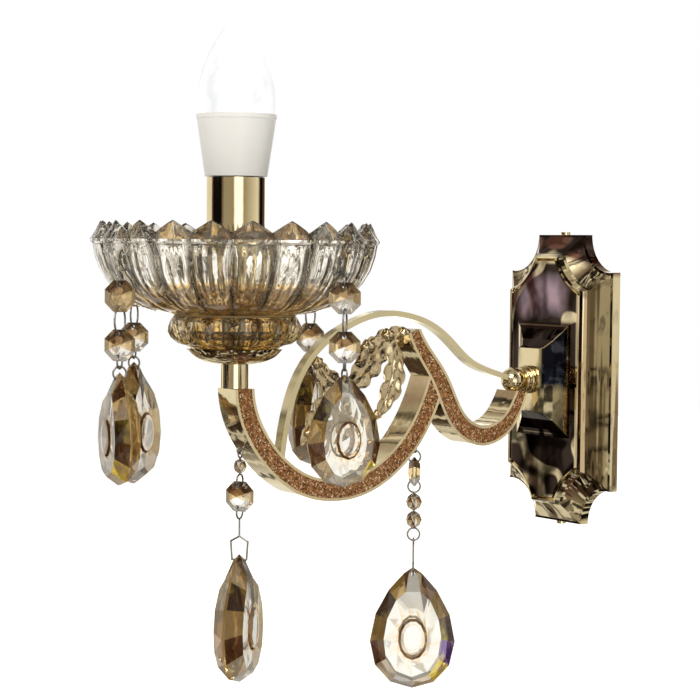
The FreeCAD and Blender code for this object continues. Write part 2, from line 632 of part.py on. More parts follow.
def bobeche():
    r, z = DISH_R, DISH_Z
    rim_in = DISH_R - DISH_RIM_T
    floor = z + DISH_WALL
    bore = STEM_R + FIT
    profile = [(bore, z), (DISH_FOOT_R, z), (46.8, z + 4.3), (59.6, z + 14.9), (65.0, z + 24.3),
               (r, DISH_RIDGE_Z - 1), (r, DISH_TIP_Z - 1.0), (r - 2.0, DISH_TIP_Z + 1.5),
               (rim_in - 2.0, DISH_TIP_Z + 1.5), (rim_in, DISH_RIDGE_Z - 3), (rim_in - 2.0, z + 22),
               (50.5, z + 12.4), (38.0, z + 6.6), (26.0, floor), (bore, floor)]
    body = turned(profile, [(1, 5)])
    pitch = 360 / DISH_PETALS
    depth = DISH_TIP_Z - DISH_RIDGE_Z
    half = DISH_R * math.sin(math.radians(pitch / 2))
    top = DISH_TIP_Z + NOTCH_LIFT
    wide = half * (depth + NOTCH_LIFT) / depth
    bottom = V(0, 0, DISH_RIDGE_Z)
    notch = Part.makePolygon([bottom, V(0, wide, top), V(0, -wide, top), bottom])
    notch = Part.Face(notch).extrude(V(20, 0, 0))
    notch.translate(V(rim_in - 5, 0, 0))
    start = V(r + 0.9, 0, DISH_RIDGE_Z + 1)
    arc = Part.Arc(start, V(62.2, 0, z + 17.5), V(45.5, 0, z + 2.4)).toShape()
    circle = Part.Circle(start, arc.tangentAt(arc.FirstParameter), FLUTE_R)
    flute = Part.Wire([arc]).makePipeShell([Part.Wire([circle.toShape()])], True, False)
    cutters = []
    for k in range(DISH_PETALS):
        for tool in (notch, flute):
            copy = tool.copy()
            copy.rotate(V(0, 0, 0), V(0, 0, 1), groove_angle(k))
            copy.translate(V(0, CUP_Y, 0))
            cutters.append(copy)
    for string in DISH_STRINGS:
        turn = math.radians(groove_angle(string[1]))
        ends = [(q * math.cos(turn), CUP_Y + q * math.sin(turn), DISH_HOLE_Z) for q in (rim_in - 8, r + 3)]
        cutters.append(rod(DISH_HOLE_R, ends[0], ends[1]))
    return body.cut(cutters)


def stem_nut():
    low = DISH_Z + DISH_WALL + CUSHION_T + 2 * FIT
    nut = hexagon(STEM_NUT_AF, low, low + STEM_NUT_T, STEM_R + FIT)
    nut.translate(V(0, CUP_Y, 0))
    return nut


def candle_sleeve():
    low = DISH_Z + DISH_WALL + CUSHION_T + 2 * FIT
    return tube(SLEEVE_R, SLEEVE_R - SLEEVE_WALL, low, SLEEVE_TOP)


def lampholder_body():
    """A moulded cup with a base that screws onto the stem."""
    bore = THREAD_R + RUN + SHELL_T + FIT
    top, floor = HOLDER_BODY_TOP, BULB_BASE_Z - CAP_LEN - HOLDER_FLOOR
    base = STEM_TOP - HOLDER_BASE_H
    return turned([(STEM_R + FIT, base), (HOLDER_BASE_R, base), (HOLDER_BASE_R, STEM_TOP + 1),
                   (HOLDER_BODY_R, STEM_TOP + 4), (HOLDER_BODY_R, top), (bore, top), (bore, floor),
                   (STEM_BORE_R, floor), (STEM_BORE_R, STEM_TOP + 0.1), (STEM_R + FIT, STEM_TOP + 0.1)])


def holder_shell():
    inner = THREAD_R + RUN
    low = BULB_BASE_Z - CAP_LEN + 3.0
    return tube(inner + SHELL_T, inner, low, HOLDER_BODY_TOP - 1.0)


def holder_contact():
    """The sprung tongue under the bulb's tip, on its foot."""
    floor = BULB_BASE_Z - CAP_LEN - HOLDER_FLOOR
    tip = BULB_BASE_Z - CAP_LEN - CONTACT_GAP
    near, far, back = CUP_Y - CONTACT_HALF, CUP_Y + CONTACT_HALF, -CONTACT_HALF
    foot = box(back, 6.2, near, far, floor + FIT, floor + FIT + CONTACT_T)
    rise = box(back, back + CONTACT_T, near, far, floor + FIT, tip)
    tongue = box(back, 2.4, near, far, tip - CONTACT_T, tip)
    screw_hole = rod(1.0, (4.5, CUP_Y, floor - 1), (4.5, CUP_Y, floor + 2))
    return foot.fuse([rise, tongue]).cut(screw_hole).removeSplitter()


def bulb():
    top, base, low = BULB_BASE_Z - FIT, BULB_BASE_Z, BULB_BASE_Z - CAP_LEN
    thread = [(THREAD_R - 0.4, low + 3.5)]
    z = low + 3.5
    while z < top - 2 * THREAD_PITCH:
        for depth, share in ((0, 0.25), (0, 0.5), (0.5, 0.75), (0.5, 1)):
            thread.append((THREAD_R - depth, z + share * THREAD_PITCH))
        z += THREAD_PITCH
    inner = THREAD_R - 0.5 - CAP_WALL
    cap = turned([*thread, (THREAD_R - 0.4, top - 1.0), (THREAD_R - 0.4, top), (inner, top),
                  (inner, low + 3.5)])
    insulator = turned([(1.9, low + 0.9), (3.4, low + 0.9), (THREAD_R - 0.6, low + 3.4),
                        (THREAD_R - 1.3, low + 3.45), (1.9, low + 2.4)])
    contact = turned([(0, low), (1.4, low), (1.85, low + 0.6), (1.85, low + 2.2), (0, low + 2.2)])
    w, split = BULB_WALL, BULB_SPLIT_Z
    housing = turned([(THREAD_R - 1.2, base), (BULB_NECK_R, base), (BULB_R - 0.3, split - 2.4),
                      (BULB_R, split - 2.0), (BULB_R, split), (BULB_R - w, split),
                      (BULB_R - w, split - 2.6), (BULB_NECK_R - w, base + w),
                      (THREAD_R - 1.2, base + w)])
    board_r, board_top = BULB_R - w - 0.3, split - 1.0
    board = turned([(0, board_top - BOARD_T), (board_r, board_top - BOARD_T), (board_r, board_top),
                    (0, board_top)])
    z = split + FIT
    tip = BULB_TIP_Z
    outline = [(BULB_R - 0.2, z), (BULB_R, z + 7), (BULB_R - 2.3, z + 18), (BULB_R - 6.6, z + 29.5),
               (6.0, tip - 8.6), (2.0, tip - 1.6), (0, tip)]
    hollow = [(0, tip - 2 * w), (1.2, tip - 2.6 * w - 1), (4.9, tip - 10.4), (BULB_R - 6.6 - w, z + 29.0),
              (BULB_R - 2.3 - w, z + 17.8), (BULB_R - w, z + 7), (BULB_R - 0.2 - w, z)]
    count = len(outline)
    diffuser = turned(outline + hollow, [(0, count - 1), (count, 2 * count - 1)])
    return {"bulb_cap": cap, "bulb_insulator": insulator, "bulb_contact": contact, "bulb_housing": housing,
            "led_board": board, "bulb_diffuser": diffuser}


# ---------------------------------------------------------------- crystals
def octagon_bead(centre, facing):
    corner = BEAD_AF / 2 / math.cos(math.radians(22.5))
    ring = [(corner * math.cos(math.radians(22.5 + 45 * k)), corner * math.sin(math.radians(22.5 + 45 * k)))
            for k in range(8)]
    half = BEAD_T / 2
    body = stacked(ring, [(-half, 0.46, 0), (-half * 0.32, 1.0, 0), (half * 0.32, 1.0, 0), (half, 0.46, 0)])
    for side in (1, -1):
        z = side * (BEAD_AF / 2 - BEAD_HOLE_IN)
        body = body.cut(rod(HOLE_R, (-half - 1, 0, z), (half + 1, 0, z)))
    return facing_frame(body, centre, facing)


def round_bead(centre, size):
    wires = []
    for z, r in ((-0.5, 0.34), (-0.26, 0.88), (0, 1.0), (0.26, 0.88), (0.5, 0.34)):
        reach = r * size / 2
        turns = [math.radians(45 * k) for k in range(8)]
        ring = [V(reach * math.cos(turn), reach * math.sin(turn), z * size) for turn in turns]
        wires.append(Part.makePolygon(ring + ring[:1]))
    body = Part.makeLoft(wires, True, True)
    body = body.cut(rod(WIRE_R + 0.25, (0, 0, -size), (0, 0, size)))
    body.translate(centre)
    return body


def pear(centre_line, tip_z, height, width, facing):
    """A faceted pear drop: a round foot that narrows to its drilled tip."""
    count = 18
    turns = [2 * math.pi * (k + 0.5) / count for k in range(count)]
    ring = [(math.sin(t) * abs(math.sin(t / 2)) ** PEAR_FULLNESS, math.cos(t)) for t in turns]
    reach, rise = max(y for y, z in ring), max(z for y, z in ring)
    ring = [(y / reach * width / 2, z / rise * height / 2) for y, z in ring]
    half = width * PENDANT_T / 2
    belly = -height * 0.14
    body = stacked(ring, [(-half, 0.42, belly), (-half * 0.62, 0.80, belly), (-half * 0.12, 1.0, belly),
                          (half * 0.12, 1.0, belly), (half * 0.62, 0.80, belly), (half, 0.42, belly)])
    tip, shoulder = height / 2, height * (0.5 - NECK_SHARE)
    for side in (1, -1):
        outline = ((NECK_T / 2, tip), (half, shoulder), (half + 5, shoulder), (half + 5, tip + 5),
                   (NECK_T / 2, tip + 5))
        wedge = [V(side * x, -width, z) for x, z in outline]
        body = body.cut(Part.Face(Part.makePolygon(wedge + wedge[:1])).extrude(V(0, 2 * width, 0)))
    hole = tip - PENDANT_HOLE_IN
    body = body.cut(rod(HOLE_R, (-width, 0, hole), (width, 0, hole)))
    return facing_frame(body, V(centre_line.x, centre_line.y, tip_z - height / 2), facing)


def link_sag(radius):
    """How far a hole sits above the lowest point of the ring through it."""
    return 0.12 * 9.0 / radius


def lower_chain(line, hole_z, bead_facing, pendant_facing):
    """Two small rings at right angles below a bead's hole; returns them and the pendant's hole height."""
    first = hole_z - link_sag(RING_R) - RING_R + 2 * link_sag(RING_R)
    second = first - 2 * RING_R + 2 * WIRE_R + FIT
    rings = [torus_ring(V(line.x, line.y, first), RING_R, bead_facing + 90)]
    rings.append(torus_ring(V(line.x, line.y, second), RING_R, pendant_facing + 90))
    return rings, second - RING_R + link_sag(RING_R)


def dish_string(name, groove, height, width, bead_facing, pendant_facing):
    turn = math.radians(groove_angle(groove))
    out = V(math.cos(turn), math.sin(turn), 0)
    line = V(DISH_HANG_R * out.x, CUP_Y + DISH_HANG_R * out.y, 0)
    high = V(line.x, line.y, DISH_HOLE_Z)
    inner = high - out * HOOK_IN
    up = V(0, 0, 1)
    hook = bent_wire([inner + up * HOOK_UP, inner, high, high - up * HOOK_DOWN])
    eye_z = DISH_HOLE_Z - HOOK_DOWN - RING_R + EYE_SINK
    eye = torus_ring(V(line.x, line.y, eye_z), RING_R, bead_facing + 90)
    hook = joined(hook, eye)
    arm = BEAD_AF / 2 - BEAD_HOLE_IN
    bead1 = eye_z - RING_R + link_sag(RING_R) - arm
    link_z = bead1 - arm - link_sag(LINK_R) + 2 * link_sag(LINK_R) - LINK_R
    bead2 = link_z - LINK_R + link_sag(LINK_R) - arm
    link = torus_ring(V(line.x, line.y, link_z), LINK_R, bead_facing + 90)
    rings, hole = lower_chain(line, bead2 - arm, bead_facing, pendant_facing)
    beads = [octagon_bead(V(line.x, line.y, z), bead_facing) for z in (bead1, bead2)]
    drop = pear(line, hole + PENDANT_HOLE_IN, height, width, pendant_facing)
    print("string", name, "pivot", [round(c, 2) for c in high], "pendant pivot z", round(hole, 2))
    return {"wires_" + name: [hook, link] + rings, "beads_" + name: beads, "pendant_" + name: drop}


def eye_shank(spot, root, radius):
    """The straight wire from an eye's rim into the arm."""
    centre, end = V(0, *spot), V(0, *root)
    along = (end - centre).normalize()
    return rod(radius, tuple(centre + along * EYE_R), tuple(end))


def arm_eye(spot, root):
    """A wire eye whose shank sinks into the lower arm above it."""
    return torus_ring(V(0, *spot), EYE_R, 0).fuse(eye_shank(spot, root, WIRE_R)).removeSplitter()


def candle_side_string():
    """Small bead, octagon, wire and a shouldered bail that carries the large pendant."""
    y, z = CANDLE_SIDE_STRING
    height, width = ARM_PENDANT
    line = V(0, y, 0)
    top_ring = z - EYE_R + 2 * WIRE_R + FIT - EYE_R
    pieces = [torus_ring(V(0, y, top_ring), EYE_R, 90)]
    bead_z = top_ring - EYE_R - WIRE_R - BEAD_ROOM[0] - SMALL_BEAD / 2
    pin_low = bead_z - SMALL_BEAD / 2 - BEAD_ROOM[1]
    pin = rod(WIRE_R, (0, y, top_ring - EYE_R), (0, y, pin_low))
    facing, pendant_facing = CANDLE_SIDE_FACING
    eye = torus_ring(V(0, y, pin_low - RING_R + EYE_SINK), RING_R, facing + 90)
    pieces[0] = joined(pieces[0], pin, eye)
    arm = BEAD_AF / 2 - BEAD_HOLE_IN
    octagon_z = pin_low - 2 * RING_R + EYE_SINK + link_sag(RING_R) - arm
    low_eye = octagon_z - arm + link_sag(RING_R) - RING_R
    apex = low_eye - RING_R - BAIL_STEM
    stem = rod(WIRE_R, (0, y, low_eye - RING_R), (0, y, apex - 1.6))
    hanger = torus_ring(V(0, y, low_eye), RING_R, facing + 90).fuse(stem)
    turn = math.radians(pendant_facing)
    side = V(math.cos(turn), math.sin(turn), 0)
    feet = [[line + side * (s * a) + V(0, 0, apex - 1.2 + b) for a, b in BAIL_SHAPE] for s in (1, -1)]
    hanger = hanger.fuse(bent_wire(feet[0][::-1] + feet[1][1:] + [feet[0][-1]]))
    hole = feet[0][-1].z
    drop = pear(line, hole - 0.4 + PENDANT_HOLE_IN, height, width, pendant_facing)
    print("string candle_side pivot", (0, y, round(top_ring + EYE_R, 2)), "pendant pivot z", round(hole, 2))
    return {"wires_candle_side": [pieces[0], hanger],
            "beads_candle_side": [round_bead(V(0, y, bead_z), SMALL_BEAD),
                                  octagon_bead(V(0, y, octagon_z), facing)],
            "pendant_candle_side": drop}


def wall_side_string():
    """An octagon seen on edge, two small round beads, an open ring, a pin and the large pendant."""
    y, z = WALL_SIDE_STRING
    height, width = ARM_PENDANT
    line = V(0, y, 0)
    facing, pendant_facing = WALL_SIDE_FACING
    top_ring = z - EYE_R + 2 * WIRE_R + FIT - EYE_R
    arm = BEAD_AF / 2 - BEAD_HOLE_IN
    first = top_ring - EYE_R - RING_R + 2 * WIRE_R + FIT
    octagon_z = first - RING_R + link_sag(RING_R) - arm
    low_eye = octagon_z - arm + link_sag(RING_R) - RING_R
    end_room, room = ROUND_ROOM
    bead_a = low_eye - RING_R - end_room - ROUND_BEAD / 2
    bead_b = bead_a - ROUND_BEAD - room
    pin_low = bead_b - ROUND_BEAD / 2 - end_room
    pin = rod(WIRE_R, (0, y, low_eye - RING_R), (0, y, pin_low))
    ring_a = torus_ring(V(0, y, pin_low - RING_R + EYE_SINK), RING_R, facing + 90)
    first_pin = joined(torus_ring(V(0, y, low_eye), RING_R, facing + 90), pin, ring_a)
    ring_b_top = pin_low - 2 * RING_R + EYE_SINK + 2 * WIRE_R + FIT
    pin_end = ring_b_top - 2 * EYE_R - LONG_PIN
    low_ring = torus_ring(V(0, y, pin_end - RING_R + EYE_SINK), RING_R, pendant_facing + 90)
    second_pin = torus_ring(V(0, y, ring_b_top - EYE_R), EYE_R, pendant_facing + 90)
    second_pin = joined(second_pin, rod(WIRE_R, (0, y, ring_b_top - 2 * EYE_R), (0, y, pin_end)), low_ring)
    hole = pin_end - 2 * RING_R + EYE_SINK + link_sag(RING_R)
    drop = pear(line, hole + PENDANT_HOLE_IN, height, width, pendant_facing)
    wires = [torus_ring(V(0, y, top_ring), EYE_R, 90), torus_ring(V(0, y, first), RING_R, facing + 90),
             first_pin, second_pin]
    print("string wall_side pivot", (0, y, round(top_ring + EYE_R, 2)), "pendant pivot z", round(hole, 2))
    return {"wires_wall_side": wires,
            "beads_wall_side": [octagon_bead(V(0, y, octagon_z), facing),
                                round_bead(V(0, y, bead_a), ROUND_BEAD),
                                round_bead(V(0, y, bead_b), ROUND_BEAD)],
            "pendant_wall_side": drop}


# ---------------------------------------------------------------- the whole sconce
def main():
    os.makedirs("parts", exist_ok=True)
    parts = {"wall_plate": wall_plate(), "wall_bracket": wall_bracket(), "plate_screws": plate_screws(),
             "entry_nipple": entry_nipple(), "nipple_washer": nipple_washer(), "nipple_nut": nipple_nut(),
             "boss_collar": boss_collar(), "knuckle_ball": knuckle_ball(), "terminal_block": terminal_block(),
             "terminal_screws": terminal_screws(), "supply_wires": supply_wires()}
    parts.update(make_arms())
    parts["scroll_strap"] = scroll_strap(band(LOWER_ARM, LOWER_ARM_T, -ARM_W / 2, ARM_W / 2))
    parts["leaf_flower"] = leaf_flower(band(upper_arm_points(), UPPER_ARM_T, -ARM_W / 2, ARM_W / 2),
                                       parts["scroll_strap"], parts["arm_lower"])
    parts["arm_eyes"] = [arm_eye(CANDLE_SIDE_STRING, CANDLE_SIDE_ROOT),
                         arm_eye(WALL_SIDE_STRING, WALL_SIDE_ROOT)]
    parts.update({"post": post(), "stem_rod": stem_rod(), "cup_holder": cup_holder(),
                  "lower_glass_cup": lower_glass_cup(), "cushion_washers": cushion_washers(),
                  "bobeche": bobeche(), "stem_nut": stem_nut(), "candle_sleeve": candle_sleeve(),
                  "lampholder_body": lampholder_body(), "holder_shell": holder_shell(),
                  "holder_contact": holder_contact()})
    parts.update(bulb())
    for row in DISH_STRINGS:
        parts.update(dish_string(*row))
    parts.update(candle_side_string())
    parts.update(wall_side_string())
    for name, shapes in parts.items():
        save(name, shapes)
    print(len(parts), "nodes")


main()
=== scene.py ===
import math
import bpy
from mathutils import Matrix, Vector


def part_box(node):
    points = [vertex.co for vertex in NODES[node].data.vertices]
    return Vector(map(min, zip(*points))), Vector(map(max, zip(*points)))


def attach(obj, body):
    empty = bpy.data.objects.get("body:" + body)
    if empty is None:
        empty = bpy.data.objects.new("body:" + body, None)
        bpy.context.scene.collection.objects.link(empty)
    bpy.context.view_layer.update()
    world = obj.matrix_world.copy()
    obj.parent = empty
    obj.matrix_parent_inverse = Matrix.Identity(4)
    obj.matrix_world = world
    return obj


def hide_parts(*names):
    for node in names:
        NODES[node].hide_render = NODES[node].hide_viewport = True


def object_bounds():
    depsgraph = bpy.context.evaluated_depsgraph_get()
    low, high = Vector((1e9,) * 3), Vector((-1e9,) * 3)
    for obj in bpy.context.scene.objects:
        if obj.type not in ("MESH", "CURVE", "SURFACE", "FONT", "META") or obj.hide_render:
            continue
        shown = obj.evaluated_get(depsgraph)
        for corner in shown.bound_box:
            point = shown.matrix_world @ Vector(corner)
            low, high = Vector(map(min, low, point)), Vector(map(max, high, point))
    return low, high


bl_info = {
    "name": "Crystal wall sconce",
    "version": (1, 0, 0),
    "blender": (4, 5, 0),
    "location": "3D View > Sidebar > Sconce",
    "description": "Dresses the wall sconce with its glass, crystal, gold and light",
    "category": "Object",
}

import bmesh
import bpy
import numpy as np
from bpy.props import FloatProperty, FloatVectorProperty, IntProperty, PointerProperty
from mathutils import Matrix, Vector

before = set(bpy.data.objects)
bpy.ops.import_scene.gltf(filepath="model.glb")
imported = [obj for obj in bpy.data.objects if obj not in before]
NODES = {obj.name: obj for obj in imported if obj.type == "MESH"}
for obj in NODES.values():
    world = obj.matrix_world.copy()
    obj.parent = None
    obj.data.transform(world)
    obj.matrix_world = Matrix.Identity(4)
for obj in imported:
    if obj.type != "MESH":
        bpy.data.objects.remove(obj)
CAD_BOX = [list(corner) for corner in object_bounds()]

MM = 0.001
CANDLE = (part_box("candle_sleeve")[0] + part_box("candle_sleeve")[1]) / 2
DISH_LOW, DISH_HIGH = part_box("bobeche")
CUP_LOW, CUP_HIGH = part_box("lower_glass_cup")
DISH_RIDGE = 69.0  # height of the valleys between the rim's points, in mm
PETAL_TURN = -41.4  # angle of one petal's middle, in degrees from +X
SECTOR_WELD = 0.02 * MM  # the edges of two sectors lie nearer than this

STRINGS = ("front", "left", "right", "back", "candle_side", "wall_side")
# way that the pendant and the octagons of each string face, in degrees from +X
PENDANT_FACING = {"front": -100, "left": 30, "right": -12, "back": 30, "candle_side": 38, "wall_side": -35}
BEAD_FACING = {"front": -50, "left": -45, "right": -42, "back": -55, "candle_side": -60, "wall_side": 55}

PEAR_FULLNESS = 0.6  # lower is rounder towards a pendant's tip
PEAR_WIDTH = 0.7  # share of a pendant's height
PEAR_HOLE = 3.0 * MM  # below its tip
# painted tone of each big facet of a pendant's rim, standing in for the reflections and coloured fire it shows,
# from its tip round its right side, its foot and its left side
PENDANT_RIM = (0.2, 0.4, 0.25, 0.6, 1.0, 0.8, 0.1, 0.0, 0.1, 0.45, 0.25, 0.6, 0.2, 0.45)
# painted tones of the same facets on the pendant's back
PENDANT_BACK = (0.1, 0.2, 0.2, 0.2, 0.3, 0.1, 0.0, 0.0, 0.1, 0.1, 0.3, 0.1, 0.2, 0.2)
# the violet tone is painted coloured fire, the other a painted dark reflection
RIM_VIOLET, RIM_DARK_REFLECTION = 1.0, 0.5  # two of those tones; the first one only shows on these strings:
VIOLET_STRINGS = ("left", "wall_side")

OCTAGON_ACROSS, OCTAGON_THICK = 14.0, 6.6  # in mm
OCTAGON_HOLE = 4.7 * MM  # above and below its middle
SMALLEST_OCTAGON = 10.0  # beads shorter than this, in mm, are round
AMBER_TOP_STRINGS = ("front", "left")  # their first octagon is amber to its foot
DRILL_RADIUS, DRILL_LENGTH = 1.0 * MM, 24 * MM
BLACK, WHITE = (0, 0, 0), (1, 1, 1)


# ---------------------------------------------------------------- nodes
class Signal:
    """A node's output that takes part in shader maths written as plain expressions."""

    def __init__(self, network, socket):
        self.network, self.socket = network, socket

    def maths(self, operation, *terms):
        return self.network.add("ShaderNodeMath", {"operation": operation}, dict(enumerate(terms)))

    def __add__(self, other):
        return self.maths("ADD", self, other)

    def __radd__(self, other):
        return self.maths("ADD", other, self)

    def __sub__(self, other):
        return self.maths("SUBTRACT", self, other)

    def __rsub__(self, other):
        return self.maths("SUBTRACT", other, self)

    def __mul__(self, other):
        return self.maths("MULTIPLY", self, other)

    def __rmul__(self, other):
        return self.maths("MULTIPLY", other, self)

    def __truediv__(self, other):
        return self.maths("DIVIDE", self, other)

    def __rtruediv__(self, other):
        return self.maths("DIVIDE", other, self)

    def __abs__(self):
        return self.maths("ABSOLUTE", self)

    def clamped(self):
        return self.maths("MINIMUM", self.maths("MAXIMUM", self, 0.0), 1.0)

    def past(self, edge, soft):
        """0 up to the edge, then rising to 1 over the soft width."""
        return ((self - edge) / soft).clamped()

    def before(self, edge, soft):
        """1 at first, then falling to 0 over the soft width that ends at the edge."""
        return ((edge - self) / soft).clamped()

    def output(self, name):
        """Another output of the same node."""
        return Signal(self.network, self.socket.node.outputs[name])


class Network:
    """A node tree, filled by one method that adds a node with its settings and its sockets."""

    def __init__(self, tree):
        self.tree = tree

    def add(self, kind, settings=None, sockets=None, out=0):
        node = self.tree.nodes.new(kind)
        for key, value in (settings or {}).items():
            if key == "stops":
                while len(node.color_ramp.elements) < len(value):
                    node.color_ramp.elements.new(0.5)
                for element, (position, colour) in zip(node.color_ramp.elements, value):
                    element.position, element.color = position, (*colour[:3], 1)
            else:
                setattr(node, key, value)
        for key, value in (sockets or {}).items():
            if isinstance(value, Signal):
                self.tree.links.new(value.socket, node.inputs[key])
            else:
                node.inputs[key].default_value = value
        return Signal(self, node.outputs[out])

    def ramp(self, signal, *stops):
        return self.add("ShaderNodeValToRGB", {"stops": stops}, {0: signal})

    def mix(self, factor, first, second):
        """The first colour where the factor is 0 and the second where it is 1."""
        first, second = (tone if isinstance(tone, Signal) else (*tone[:3], 1) for tone in (first, second))
        # a colour mix takes sockets 0, 6 and 7 and gives output 2
        return self.add("ShaderNodeMix", {"data_type": "RGBA"}, {0: factor, 6: first, 7: second}, 2)

    def coated(self, tone, *coats):
        """The tone under coats laid one over the other, each a factor and a colour."""
        for cover, shade in coats:
            tone = self.mix(cover, tone, shade)
        return tone


class Finish(Network):
    """A material with one Principled shader, whose plain values are set on its own sockets."""

    def __init__(self, name, plain=None):
        self.material = bpy.data.materials.new(name)
        self.material.use_nodes = True
        super().__init__(self.material.node_tree)
        self.shader = self.tree.nodes["Principled BSDF"]
        for socket, value in (plain or {}).items():
            self.shader.inputs[socket].default_value = value
        self.where = self.add("ShaderNodeTexCoord", out="Object")

    def paint(self, socket, signal):
        self.tree.links.new(signal.socket, self.shader.inputs[socket])

    def noise(self, scale, detail=2.0, roughness=0.5, stretch=None):
        where = self.where
        if stretch:
            where = self.add("ShaderNodeMapping", {}, {"Vector": where, "Scale": stretch})
        return self.add("ShaderNodeTexNoise", {}, {"Vector": where, "Scale": scale, "Detail": detail,
                                                   "Roughness": roughness})

    def cells(self, scale, out="Distance"):
        return self.add("ShaderNodeTexVoronoi", {}, {"Vector": self.where, "Scale": scale}, out)

    def place(self, axis):
        return self.add("ShaderNodeSeparateXYZ", {}, {0: self.where}, axis)

    def marked(self, name):
        """A number that the mesh keeps for each point or facet."""
        return self.add("ShaderNodeAttribute", {"attribute_name": name}, {}, "Fac")

    def mask(self, signal, low, high):
        return self.ramp(signal, (low, BLACK), (high, WHITE))

    def bump(self, relief, distance):
        self.paint("Normal", self.add("ShaderNodeBump", {}, {"Height": relief, "Distance": distance,
                                                            "Strength": 1.0}))


# ---------------------------------------------------------------- values a user may change
def colour(name, description, default):
    return FloatVectorProperty(name=name, description=description, default=default, size=4, min=0, max=1,
                               subtype="COLOR")


def length(name, description, default):
    return FloatProperty(name=name, description=description, default=default, min=0, unit="LENGTH")


class SconceColours(bpy.types.PropertyGroup):
    gold: colour("Gold", "Plated gold where it is brightest", (0.84, 0.74, 0.50, 1))
    gold_deep: colour("Deep gold", "Plated gold where it is thicker", (0.70, 0.57, 0.33, 1))
    strap_gold: colour("Strap gold", "Paler gold of the scroll strap", (0.66, 0.58, 0.34, 1))
    glitter: colour("Glitter ground", "Copper ground of the glitter strips", (0.25, 0.105, 0.033, 1))
    # flakes painted bright as glints
    glint: colour("Glitter spark", "Bright flakes in the glitter", (1.0, 0.86, 0.62, 1))
    clear: colour("Clear glass", "Glass at the dish's rim", (0.96, 0.95, 0.91, 1))
    amber: colour("Amber glass", "Glass at the dish's foot", (0.92, 0.58, 0.18, 1))
    olive: colour("Olive glass", "Glass of the small cup", (0.70, 0.50, 0.19, 1))
    # painted brown shade in the grooves of the dish and cup
    groove_shade: colour("Smoke", "Brown shade in the dish's grooves", (0.24, 0.18, 0.09, 1))
    drop: colour("Champagne crystal", "Face of the pendants", (0.66, 0.65, 0.61, 1))
    honey: colour("Honey facet", "Commonest facet round a pendant", (0.64, 0.40, 0.12, 1))
    # painted facet tones: umber and black reflections, and the yellow and violet fire thrown by the facets
    umber_reflection: colour("Umber facet", "Dark brown facet round a pendant", (0.12, 0.045, 0.012, 1))
    black_reflection: colour("Soot facet", "Darkest facet round a pendant", (0.035, 0.016, 0.008, 1))
    lemon: colour("Yellow facet", "Facet that throws yellow light", (0.96, 0.72, 0.06, 1))
    violet: colour("Violet facet", "Facet that throws violet light", (0.13, 0.07, 0.30, 1))
    bulb: colour("Bulb plastic", "Pale grey plastic of the bulb", (0.80, 0.80, 0.775, 1))


class SconceSizes(bpy.types.PropertyGroup):
    petals: IntProperty(name="Petals", description="Petals round the dish", default=22, min=6, max=60)
    groove: length("Groove", "Depth of the groove between two petals", 2.9 * MM)
    dimples: IntProperty(name="Dimples", description="Dimples round the small cup", default=16, min=4, max=40)
    step: length("Pendant oval", "Height of the oval step on a pendant's face", 0.9 * MM)


class SconceStage(bpy.types.PropertyGroup):
    azimuth: FloatProperty(name="Azimuth", description="Way round the sconce to the camera",
                           default=math.radians(55), subtype="ANGLE")
    elevation: FloatProperty(name="Elevation", description="Height of the camera as an angle",
                             default=math.radians(2.8), subtype="ANGLE")
    roll: FloatProperty(name="Roll", description="Turn of the camera about its own line of sight",
                        default=math.radians(0.6), subtype="ANGLE")
    distance: length("Distance", "Camera to the middle of the view", 0.994)
    lens: FloatProperty(name="Lens", description="Focal length on a 36 mm sensor, in millimetres",
                        default=106.46)
    floor: length("Floor drop", "How far the floor lies below the sconce", 0.30)


# ---------------------------------------------------------------- finishes
def gold(name, light, deep, roughness=0.05, wave=0.12, patch=35):
    """Bright plating in patches of two tones; its waves bend the reflections."""
    look = Finish(name, {"Metallic": 1.0})
    look.paint("Base Color", look.mix(look.noise(patch), light, deep))
    look.paint("Roughness", look.noise(90, 4, 0.6) * 0.08 + (roughness - 0.03))
    look.bump(look.noise(60, 2) * wave + look.noise(420, 3) * 0.01, MM)
    return look.material


